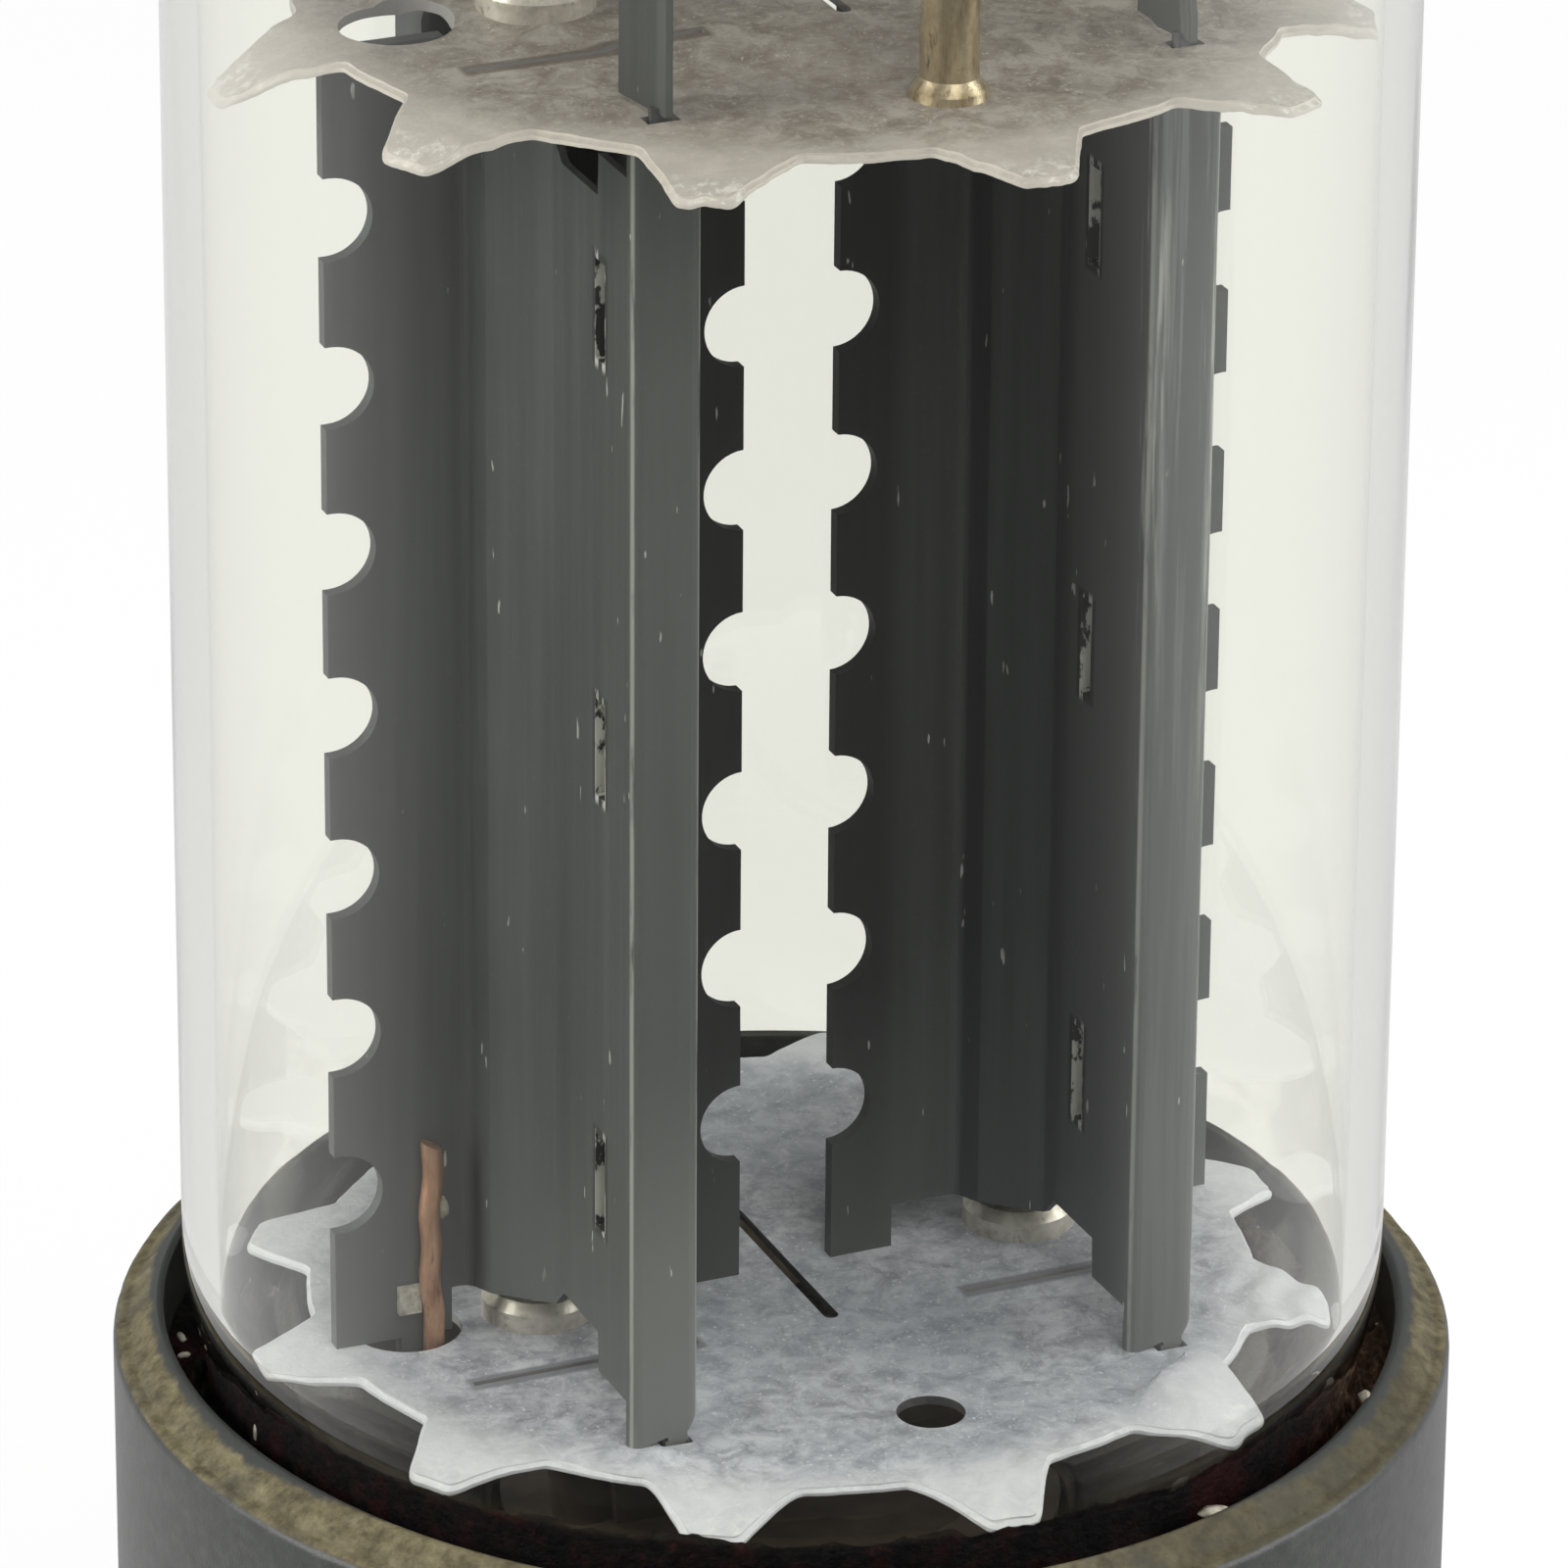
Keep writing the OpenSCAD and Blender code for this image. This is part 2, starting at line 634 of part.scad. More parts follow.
// Copper lead from its pin through the press to the flange of its anode
module anode_lead(side, pin) {
    color([0.72, 0.45, 0.3])
    wire([[pin_at(pin).x, pin_at(pin).y, floor_z - pin_bore_h],
          [pin_at(pin).x, pin_at(pin).y, pin_wire_z],
          [side * press_out, 0, seal_z - 1],
          [side * press_out, 0, anode_run_z],
          [side * wire_x, side * wire_y, anode_run_z],
          [side * wire_x, side * wire_y, lower_z + weld_top]], lead_r);
}

// Lead from its pin through the press to the outer leg of a heater
module leg_lead(side, pin) {
    color([0.66, 0.66, 0.64])
    wire([[pin_at(pin).x, pin_at(pin).y, floor_z - pin_bore_h],
          [pin_at(pin).x, pin_at(pin).y, pin_wire_z],
          [side * press_in, 0, seal_z - 1],
          [side * press_in, 0, press_top + 0.5],
          [side * press_in, run_y, heater_run_z],
          [side * (anode_x + heater_leg), run_y, heater_run_z],
          [side * (anode_x + heater_leg), 0, leg_bottom - lead_r - 0.3],
          [side * (anode_x + heater_leg), 0, leg_bottom]], lead_r);
}

// Wire that joins the inner legs of the two heaters
module heater_link() {
    leg_x = anode_x - heater_leg;
    color([0.66, 0.66, 0.64])
    wire([[-leg_x, 0, leg_bottom], [-leg_x, 0, link_z], [-leg_x, link_y, link_z],
          [leg_x, link_y, link_z], [leg_x, 0, link_z], [leg_x, 0, leg_bottom]], lead_r);
}

// Strip that joins the two cathodes, with a tab down to the cathode lead
module cathode_strap() {
    tab_x = -0.62 * anode_x;
    lead_top = heater_run_z + lead_r;
    color([0.7, 0.69, 0.67])
    difference() {
        union() {
            translate([-anode_x, -strap_w / 2, strap_z]) cube([2 * anode_x, strap_w, strap_t]);
            for (side = [-1, 1]) translate([side * anode_x, 0, strap_z])
                cylinder(h = strap_t, r = cathode_r + 0.45, $fn = 48);
            translate([tab_x, run_y - strap_t / 2, strap_z])
                cube([1, -run_y - strap_w / 2 + strap_t, strap_t]);
            translate([tab_x, run_y - strap_t / 2, lead_top])
                cube([1, strap_t, strap_z - lead_top + strap_t]);
        }
        for (side = [-1, 1]) translate([side * anode_x, 0, strap_z - 1])
            cylinder(h = 3, r = cathode_r, $fn = 48);
    }
}

// Small bright tab welded to the flange beside the anode lead
module weld_tab(side) {
    color([0.9, 0.88, 0.84])
    translate([side * (lead_hole.x + 0.15), side * (sheet_t + 0.1), lower_z + 1.12])
        cube([0.6, 0.2, 0.76], center = true);
}

// Brass post swaged through the upper mica
module getter_post() {
    color([0.75, 0.6, 0.36])
    translate([post_x, -post_y, upper_top]) rotate_extrude($fn = 48)
        polygon([[lead_r + 0.05, -mica_t - 0.2], [post_r + 0.2, -mica_t - 0.2],
                 [post_r + 0.2, -mica_t], [post_r, -mica_t], [post_r, 0],
                 [post_r + 0.27, 0], [post_r + 0.22, 0.2], [post_r, 0.5],
                 [post_r, post_h], [lead_r + 0.05, post_h]]);
}

// Wire from the post to the getter ring
module getter_arm() {
    color([0.66, 0.66, 0.64])
    difference() {
        wire([[post_x, -post_y, upper_top + 1], [post_x, -post_y, upper_top + ring_lift - 1.4],
              [post_x, -post_y + 1.4, upper_top + ring_lift],
              [post_x, -ring_r + 0.3, upper_top + ring_lift]], lead_r + 0.05);
        translate([0, 0, upper_top + ring_lift - 2]) cylinder(h = 4, r = ring_r, $fn = 96);
    }
}

// Ring-shaped trough that held the getter
module getter_ring() {
    color([0.6, 0.6, 0.6])
    translate([0, 0, upper_top + ring_lift - 0.55]) rotate_extrude($fn = 96)
        polygon([[ring_r - 1.5, 0], [ring_r, 0], [ring_r, 1.1], [ring_r - 0.2, 1.1],
                 [ring_r - 0.2, 0.2], [ring_r - 1.3, 0.2], [ring_r - 1.3, 1.1],
                 [ring_r - 1.5, 1.1]]);
}

base_shell();
base_cement();
glass_bulb();
glass_stem();
contact_pin(1);  // pin_1
contact_pin(2);  // pin_2
contact_pin(3);  // pin_3
contact_pin(4);  // pin_4
contact_pin(5);  // pin_5
contact_pin(6);  // pin_6
contact_pin(7);  // pin_7
contact_pin(8);  // pin_8
lower_mica();
upper_mica();
placed_half(-1, -1);  // left_anode_front
placed_half(-1, 1);  // left_anode_rear
placed_half(1, -1);  // right_anode_front
placed_half(1, 1);  // right_anode_rear
cathode(-1);  // left_cathode
cathode(1);  // right_cathode
heater(-1);  // left_heater
heater(1);  // right_heater
eyelet(-1, lower_z);  // left_lower_eyelet
eyelet(1, lower_z);  // right_lower_eyelet
eyelet(-1, upper_top);  // left_upper_eyelet
eyelet(1, upper_top);  // right_upper_eyelet
anode_lead(-1, 6);  // left_anode_lead
anode_lead(1, 4);  // right_anode_lead
leg_lead(1, 2);  // heater_lead
leg_lead(-1, 8);  // cathode_lead
heater_link();
cathode_strap();
weld_tab(-1);  // left_weld_tab
weld_tab(1);  // right_weld_tab
getter_post();
getter_arm();
getter_ring();
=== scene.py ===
import math
import random

import bpy
import bmesh
from mathutils import Matrix, Vector, noise
from mathutils.geometry import delaunay_2d_cdt


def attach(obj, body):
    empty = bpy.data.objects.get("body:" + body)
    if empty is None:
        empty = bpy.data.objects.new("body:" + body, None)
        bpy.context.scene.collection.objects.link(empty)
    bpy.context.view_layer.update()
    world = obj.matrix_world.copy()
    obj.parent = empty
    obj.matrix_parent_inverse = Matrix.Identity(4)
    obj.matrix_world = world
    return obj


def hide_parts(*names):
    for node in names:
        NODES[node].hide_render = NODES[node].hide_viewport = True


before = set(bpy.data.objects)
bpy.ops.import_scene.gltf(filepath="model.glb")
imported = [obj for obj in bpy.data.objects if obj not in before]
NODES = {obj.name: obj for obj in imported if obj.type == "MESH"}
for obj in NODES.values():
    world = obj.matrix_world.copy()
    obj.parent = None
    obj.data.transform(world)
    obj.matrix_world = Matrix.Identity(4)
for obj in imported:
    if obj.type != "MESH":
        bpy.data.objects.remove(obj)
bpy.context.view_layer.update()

MM = 0.001
SEED = 7
FULL_TURN = 2 * math.pi

# Sizes in millimetres, as in the part's source
BASE_R, BASE_H, FLOOR_T = 17.6, 15.0, 2.6
CEMENT_DROP, CEMENT_UNDER = 1.3, 0.6
KEY_R, KEY_LEN, KEY_WALL, RIB_W, RIB_OUT = 3.95, 14.2, 1.0, 2.2, 0.9
PIN_COUNT, PIN_CIRCLE, PIN_NECK_R, PIN_FIRST_DEG = 8, 17.45, 1.0, 292.5
BULB_R, GLASS_T, BULB_H, SHOULDER_R, CROWN_R = 15.75, 0.95, 53.0, 9.0, 18.0
BOTTOM_R, BOTTOM_START, TURN_DEG, SEAL_R = 7.5, 2.8, 50.0, 8.6
MICA_T, MICA_TEETH, MICA_R, TOOTH_ROOT, TOOTH_TIP = 0.25, 12, 12.55, 3.9, 1.5
CAGE_LIFT, ANODE_LEN, ANODE_X = 1.65, 35.65, 6.87
RIM_Z = KEY_LEN + BASE_H
TURN_Z = RIM_Z + BOTTOM_START
TURN_X = BULB_R - BOTTOM_R
LOWER_Z = RIM_Z + CAGE_LIFT
UPPER_TOP = LOWER_Z + ANODE_LEN + MICA_T
BULB_TOP = RIM_Z + BULB_H
LEAD_X = ANODE_X + 3.05
# the rim as seen: it rises a little towards its inner edge
RIM_IN, RIM_RISE = 16.3, 0.6
# straight towards the front of the photograph, in degrees
NEAR_DEG = -113.5
# the fins: where their edges and their fronts are, and their pierced marks
FIN_EDGES, FIN_FOLD, FIN_FRONT = (-7.625, -5.775, 6.115, 7.965), 8.12, (8.0, 8.2)
MARKS = tuple(LOWER_Z + ANODE_LEN / 2 + q for q in (-11.2, 0.8, 12.5))
MARK_Y, MARK_SIDE, MARK_STEP = 4.94, 7.0, 1.22
# the painted shade along the slits
SLIT_SHADE_Y, SLIT_SHADE_X, SLIT_SHADE_HALF = 3.34, 6.85, 3.2


# ---------------------------------------------------------------- camera
# as found from the photograph, seen from the left of the front
CAMERA_TURN = math.radians(23.5)
CAMERA_AT = (-98.353, -226.229, 126.911 + RIM_Z)
YAW, PITCH, ROLL = -0.0002, 0.4249, 0.0074
FOCAL_PX, PHOTO_PX, SENSOR_MM = 10718.09, 1600, 36


def object_frame(v):
    c, s = math.cos(CAMERA_TURN), math.sin(CAMERA_TURN)
    return Vector((v.x * c + v.y * s, -v.x * s + v.y * c, v.z))


def make_camera():
    flat, fall = math.cos(PITCH), math.sin(PITCH)
    ahead = Vector((math.sin(YAW) * flat, math.cos(YAW) * flat, -fall))
    side = Vector((math.cos(YAW), -math.sin(YAW), 0))
    over = side.cross(ahead)
    right = math.cos(ROLL) * side + math.sin(ROLL) * over
    up = -math.sin(ROLL) * side + math.cos(ROLL) * over
    ahead, right, up = object_frame(ahead), object_frame(right), object_frame(up)
    place = Vector(CAMERA_AT) * MM
    data = bpy.data.cameras.new("camera")
    camera = bpy.data.objects.new("camera", data)
    bpy.context.scene.collection.objects.link(camera)
    camera.matrix_world = Matrix(
        [(right[i], up[i], -ahead[i], place[i]) for i in range(3)] + [(0, 0, 0, 1)])
    data.sensor_width = SENSOR_MM
    data.lens = FOCAL_PX / PHOTO_PX * SENSOR_MM
    data.clip_start, data.clip_end = 0.01, 20
    bpy.context.scene.camera = camera


make_camera()
bpy.context.scene.view_settings.view_transform = "Standard"


# ---------------------------------------------------------------- material helpers
def linear(c):
    c = c / 255
    return c / 12.92 if c <= 0.04045 else ((c + 0.055) / 1.055) ** 2.4


def rgb(r, g, b):
    return (linear(r), linear(g), linear(b), 1.0)


class Net:
    """A node tree with an output, and short ways to add to it."""

    def __init__(self, tree, output):
        self.tree = tree
        tree.nodes.clear()
        self.out = self.new(output)

    def new(self, kind, **inputs):
        n = self.tree.nodes.new(kind)
        for name, value in inputs.items():
            self.put(n.inputs[name.replace("_", " ")], value)
        return n

    def put(self, socket, value):
        if isinstance(value, bpy.types.NodeSocket):
            self.tree.links.new(value, socket)
        else:
            socket.default_value = value

    def math(self, op, a, b=0.0):
        n = self.new("ShaderNodeMath")
        n.operation = op
        self.put(n.inputs[0], a)
        self.put(n.inputs[1], b)
        return n.outputs[0]

    def vector_math(self, op, a, b=(0, 0, 0)):
        n = self.new("ShaderNodeVectorMath")
        n.operation = op
        self.put(n.inputs[0], a)
        self.put(n.inputs[1], b)
        return n.outputs

    def plus(self, a, b):
        return self.math("ADD", a, b)

    def minus(self, a, b):
        return self.math("SUBTRACT", a, b)

    def times(self, a, b):
        return self.math("MULTIPLY", a, b)

    def most(self, a, b):
        return self.math("MAXIMUM", a, b)

    def size(self, a):
        return self.math("ABSOLUTE", a)

    def away(self, a, b):
        """How far two values are apart."""
        return self.size(self.minus(a, b))

    def span(self, value, a, b, c=0.0, d=1.0):
        n = self.new("ShaderNodeMapRange", Value=value, From_Min=a, From_Max=b, To_Min=c, To_Max=d)
        n.interpolation_type = "SMOOTHSTEP"
        return n.outputs["Result"]

    def blend(self, share, first, second):
        """A mix of two shaders."""
        n = self.new("ShaderNodeMixShader")
        for socket, value in zip(n.inputs, (share, first, second)):
            self.put(socket, value)
        return n.outputs[0]

    def show(self, shader):
        self.put(self.out.inputs["Surface"], shader)


class Mat(Net):
    """A node material in the part's own millimetres."""

    def __init__(self, name):
        self.material = bpy.data.materials.new(name)
        self.material.use_nodes = True
        super().__init__(self.material.node_tree, "ShaderNodeOutputMaterial")
        coord = self.new("ShaderNodeTexCoord")
        scale = self.new("ShaderNodeVectorMath")
        scale.operation = "SCALE"
        self.put(scale.inputs[0], coord.outputs["Object"])
        scale.inputs["Scale"].default_value = 1 / MM
        self.at = scale.outputs[0]
        self.split = None

    def stretched(self, x, y, z):
        return self.vector_math("MULTIPLY", self.at, (x, y, z))[0]

    def noise(self, scale, detail=3.0, rough=0.55, at=None, distort=0.0):
        n = self.new("ShaderNodeTexNoise", Vector=at or self.at, Scale=scale, Detail=detail,
                     Roughness=rough, Distortion=distort)
        return n.outputs["Fac"]

    def drawn_out(self, scale, detail, rough, z, x=1):
        """Noise in streaks along the tube."""
        return self.noise(scale, detail, rough, self.stretched(x, x, z))

    def cells(self, scale, at=None, feature="F1"):
        n = self.new("ShaderNodeTexVoronoi")
        n.feature = feature
        self.put(n.inputs["Vector"], at or self.at)
        n.inputs["Scale"].default_value = scale
        return n.outputs["Distance"]

    def xyz(self):
        if self.split is None:
            self.split = self.new("ShaderNodeSeparateXYZ", Vector=self.at).outputs
        return self.split

    def normal_z(self):
        g = self.new("ShaderNodeNewGeometry")
        return self.new("ShaderNodeSeparateXYZ", Vector=g.outputs["Normal"]).outputs[2]

    def radius(self):
        x, y, _ = self.xyz()
        return self.math("SQRT", self.plus(self.times(x, x), self.times(y, y)))

    def nearest(self, value, places):
        """Distance from a value to the nearest of a few places."""
        found = None
        for q in places:
            d = self.away(value, q)
            found = d if found is None else self.math("MINIMUM", found, d)
        return found

    def mix(self, fac, a, b):
        n = self.new("ShaderNodeMix")
        n.data_type = "RGBA"
        for socket, value in ((0, fac), (6, a), (7, b)):
            self.put(n.inputs[socket], value)
        return n.outputs[2]

    def ramp(self, fac, *stops):
        n = self.new("ShaderNodeValToRGB")
        self.put(n.inputs[0], fac)
        e = n.color_ramp.elements
        while len(e) < len(stops):
            e.new(0.5)
        for k, (pos, colour) in enumerate(stops):
            e[k].position, e[k].color = pos, rgb(*colour)
        return n.outputs["Color"]

    def bump(self, height, distance_mm, strength=1.0):
        n = self.new("ShaderNodeBump", Strength=strength, Distance=distance_mm * MM, Height=height)
        return n.outputs["Normal"]

    def shader(self, color, rough, normal=None, metallic=0.0, **constants):
        p = self.new("ShaderNodeBsdfPrincipled", Base_Color=color, Roughness=rough,
                     Metallic=metallic, **constants)
        if normal is not None:
            self.put(p.inputs["Normal"], normal)
        return p.outputs[0]

    def surface(self, *looks, **more):
        self.show(self.shader(*looks, **more))
        return self.material

    def lamps_pass(self, shader, tint):
        """Rays from lamps and from matt surfaces pass the glass straight."""
        path = self.new("ShaderNodeLightPath").outputs
        passes = self.most(path["Is Shadow Ray"], path["Is Diffuse Ray"])
        clear = self.new("ShaderNodeBsdfTransparent", Color=tint)
        return self.blend(passes, shader, clear.outputs[0])


# ---------------------------------------------------------------- materials
GLASS_IOR = 1.52
CLEAR = (0.97, 0.975, 0.96, 1)


def mat_base():
    m = Mat("moulded base")
    x, y, z = m.xyz()
    up = m.normal_z()
    grain = m.noise(2.2, 5, 0.6)
    fine = m.noise(14, 3, 0.6)
    body = m.ramp(grain, (0.3, (52, 54, 52)), (0.55, (61, 63, 61)), (0.8, (74, 76, 73)))
    body = m.mix(m.span(m.noise(7, 4, 0.7), 0.62, 0.8, 0, 0.5), body, rgb(104, 106, 103))
    tan = m.ramp(m.noise(1.5, 6, 0.72), (0.3, (62, 57, 40)), (0.44, (94, 86, 61)),
                 (0.56, (118, 110, 82)), (0.74, (147, 137, 106)))
    darker = m.times(m.span(x, -4, 7), m.span(x, 16, 12.5, 0, 0.65))
    tan = m.mix(darker, tan, rgb(60, 56, 39))
    tan = m.mix(m.span(m.noise(0.55, 4, 0.6), 0.5, 0.64, 0, 0.4), tan, rgb(78, 77, 68))
    # clean along the inner half of the rim, except in front
    near = math.radians(NEAR_DEG)
    nearness = m.plus(m.times(x, math.cos(near)), m.times(y, math.sin(near)))
    inner = m.plus(m.radius(), m.span(nearness, 9, 14.5, 0, 0.42))
    inner = m.minus(inner, m.span(nearness, 2, -3, 0, 0.24))
    inner = m.plus(inner, m.times(m.noise(1.2, 4, 0.6), 0.5))
    tan = m.mix(m.span(inner, RIM_IN + 0.62, RIM_IN + 0.42), tan, rgb(62, 64, 62))
    tan = m.mix(m.times(m.span(m.cells(2.2), 0.05, 0.26, 1, 0), 0.35), tan, rgb(48, 43, 34))
    rim = m.times(m.span(up, 0.55, 0.82), m.span(z, RIM_Z - 0.3, RIM_Z - 0.1))
    wear_and_highlight = m.times(rim, m.span(grain, 0.2, 0.42, 0.6, 1))
    colour = m.mix(wear_and_highlight, body, tan)
    bevel = m.times(m.span(up, 0.3, 0.5), m.span(m.radius(), RIM_IN + 0.3, RIM_IN + 0.2))
    bevel = m.times(bevel, m.minus(1.0, wear_and_highlight))
    colour = m.mix(m.times(bevel, 0.5), colour, rgb(100, 100, 95))
    height = m.plus(m.times(grain, 0.5), m.times(fine, 0.5))
    return m.surface(colour, m.span(wear_and_highlight, 0, 1, 0.4, 0.78), m.bump(height, 0.05, 0.5),
                     Specular_IOR_Level=0.5)


def mat_cement():
    """Black and tarry, with red-brown spots; brown and grainy on the right."""
    m = Mat("basing cement")
    x, _, z = m.xyz()
    dark = m.ramp(m.noise(1.7, 6, 0.68), (0.3, (3, 2, 2)), (0.5, (10, 7, 7)),
                  (0.62, (30, 14, 12)), (0.76, (62, 34, 26)), (0.9, (120, 100, 84)))
    dark = m.mix(m.span(m.noise(0.6, 3, 0.5), 0.54, 0.66, 0, 0.55), dark, rgb(44, 8, 9))
    brown = m.ramp(m.noise(2.6, 5, 0.7), (0.3, (18, 11, 8)), (0.46, (58, 40, 29)),
                   (0.6, (98, 77, 58)), (0.78, (150, 130, 106)))
    side = m.plus(x, m.times(m.noise(0.5, 3, 0.6), 5.0))
    colour = m.mix(m.span(side, 11.5, 15.5), dark, brown)
    # the side that lies against the glass shows smooth and grey-brown through it
    edge = m.plus(z, m.times(m.noise(0.9, 4, 0.6), 0.9))
    pressed = m.times(m.span(m.radius(), 14.75, 14.6), m.span(edge, RIM_Z - 1.75, RIM_Z - 1.9))
    taupe = m.ramp(m.noise(0.8, 4, 0.6), (0.3, (96, 84, 75)), (0.7, (124, 112, 100)))
    return m.surface(m.mix(pressed, colour, taupe), 0.5, m.bump(m.noise(5, 6, 0.7), 0.2, 0.8),
                     Specular_IOR_Level=0.12)


def mat_glass():
    m = Mat("bulb glass")
    wave = m.drawn_out(0.16, 2, 0.5, 0.3)
    glass = m.shader((0.93, 0.933, 0.885, 1), 0.0, m.bump(wave, 0.012), Transmission_Weight=1.0,
                     IOR=GLASS_IOR)
    m.show(m.lamps_pass(glass, CLEAR))
    return m.material


def mat_stem():
    """Lead glass, clouded grey-brown where it was fused."""
    m = Mat("stem glass")
    colour = m.ramp(m.noise(0.5, 4, 0.6), (0.3, (96, 86, 77)), (0.7, (124, 113, 102)))
    return m.surface(colour, 0.4, m.bump(m.noise(1.2, 2, 0.5), 0.03, 0.5))


def mat_film():
    """Silvery getter film inside the dome, with a thin brown edge."""
    m = Mat("getter film")
    z = m.xyz()[2]
    edge = m.plus(z, m.times(m.noise(0.35, 4, 0.6), 2.2))
    film = m.span(edge, BULB_TOP - 6.2, BULB_TOP - 4.4)
    silver = m.span(edge, BULB_TOP - 5.4, BULB_TOP - 3.9)
    colour = m.mix(silver, rgb(92, 62, 34), rgb(176, 176, 178))
    cloud = m.span(m.noise(1.1, 4, 0.6), 0.5, 0.8, 0, 0.35)
    colour = m.mix(cloud, colour, rgb(120, 118, 118))
    metal = m.shader(colour, m.span(m.noise(2.0, 3, 0.5), 0.3, 0.7, 0.08, 0.22), metallic=1.0)
    glass = m.shader(CLEAR, 0.0, Transmission_Weight=1.0, IOR=GLASS_IOR)
    m.show(m.blend(film, m.lamps_pass(glass, (1, 1, 1, 1)), metal))
    return m.material


def mat_anode():
    m = Mat("carbonised sheet")
    x, y, z = m.xyz()
    across, deep = m.size(x), m.size(y)
    right_side, front = m.span(x, 0, 1), m.span(deep, *FIN_FRONT)
    streak = m.drawn_out(1.5, 4, 0.6, 0.03)
    broad = m.drawn_out(0.3, 3, 0.5, 0.2)
    grain = m.noise(6, 3, 0.6)
    colour = m.ramp(streak, (0.3, (66, 68, 69)), (0.5, (73, 75, 76)), (0.72, (82, 84, 85)))
    colour = m.mix(m.span(broad, 0.4, 0.7, 0, 0.35), colour, rgb(58, 58, 57))
    colour = m.mix(m.span(grain, 0.56, 0.74, 0, 0.2), colour, rgb(94, 95, 93))
    # painted shade between the two anodes, and painted light on the fronts of the fins
    colour = m.mix(m.span(across, 3.6, 2.6, 0, 0.75), colour, rgb(38, 39, 39))
    colour = m.mix(m.span(deep, *FIN_FRONT, 0, 0.5), colour, rgb(100, 102, 101))
    # painted light towards the foot, bounced up from the lower mica, strongest on the left anode's
    # fronts
    painted_foot_light = m.span(m.plus(z, m.times(broad, 6.0)), LOWER_Z + 13, LOWER_Z + 2, 0, 0.55)
    colour = m.mix(painted_foot_light, colour, rgb(108, 110, 110))
    foot = m.times(m.span(x, 0, -1), m.span(z, LOWER_Z + 12, LOWER_Z + 1, 0, 0.5))
    colour = m.mix(m.times(foot, front), colour, rgb(142, 144, 143))
    # painted light, paler on the right anode's right wing
    painted_wing_light = m.times(m.span(x, 3.5, 4.0), m.span(deep, 3.6, 4.3))
    painted_wing_light = m.most(m.span(x, 7.0, 8.2), painted_wing_light)
    colour = m.mix(m.times(painted_wing_light, 0.42), colour, rgb(108, 110, 111))
    # painted highlights along the folds of the fins, wider on the right ones
    fold = m.most(m.nearest(x, FIN_EDGES), m.nearest(deep, (FIN_FOLD,)))
    line = m.drawn_out(2.2, 4, 0.65, 0.12)
    thin = m.times(m.span(fold, 0.13, 0.06), m.span(line, 0.3, 0.5))
    strand = m.drawn_out(5, 3, 0.6, 0.035)
    wide = m.times(m.span(fold, 0.62, 0.1), m.span(strand, 0.5, 0.66))
    wide = m.times(wide, m.times(right_side, m.span(z, UPPER_TOP - 24, UPPER_TOP - 8)))
    wear_and_highlight = m.most(m.times(thin, 0.4), m.times(wide, 0.6))
    # painted streaks of reflection on the right fin's front, stronger towards its top
    painted_streak_light = m.span(m.drawn_out(2.4, 4, 0.6, 0.03), 0.46, 0.62)
    painted_streak_light = m.times(painted_streak_light, m.span(z, UPPER_TOP - 26, UPPER_TOP - 6, 0.15, 0.6))
    painted_streak_light = m.times(painted_streak_light, m.times(front, right_side))
    colour = m.mix(painted_streak_light, colour, rgb(140, 143, 144))
    # the pierced marks: painted shade in their slits and at their sides, and painted highlights
    # along their lips
    outer = m.math("GREATER_THAN", across, MARK_SIDE)
    off = m.away(deep, m.plus(MARK_Y, m.times(outer, MARK_STEP)))
    along = m.span(m.nearest(z, MARKS), 1.62, 1.4)
    colour = m.mix(m.times(along, m.span(off, 0.56, 0.42, 0, 0.7)), colour, rgb(40, 40, 40))
    mark = m.times(along, m.times(m.span(off, 0.1, 0.14), m.span(off, 0.36, 0.3)))
    mark = m.times(mark, m.span(m.drawn_out(1.4, 4, 0.7, 0.5), 0.46, 0.52))
    tick = m.times(m.span(m.drawn_out(2.6, 2, 0.4, 0.35, 1.6), 0.735, 0.765),
                   m.span(m.noise(0.35, 1, 0.5), 0.42, 0.5))
    # painted highlights of the folds and marks, with pale scratches, in one colour and less rough
    highlights_and_scratches = m.most(m.most(wear_and_highlight, m.times(mark, 0.9)), m.times(tick, 0.7))
    colour = m.mix(highlights_and_scratches, colour, rgb(206, 206, 199))
    height = m.plus(m.times(grain, 0.5), m.times(streak, 0.5))
    return m.surface(colour, m.span(highlights_and_scratches, 0, 1, 0.56, 0.34), m.bump(height, 0.02, 0.5),
                     metallic=0.1, Specular_IOR_Level=0.35)


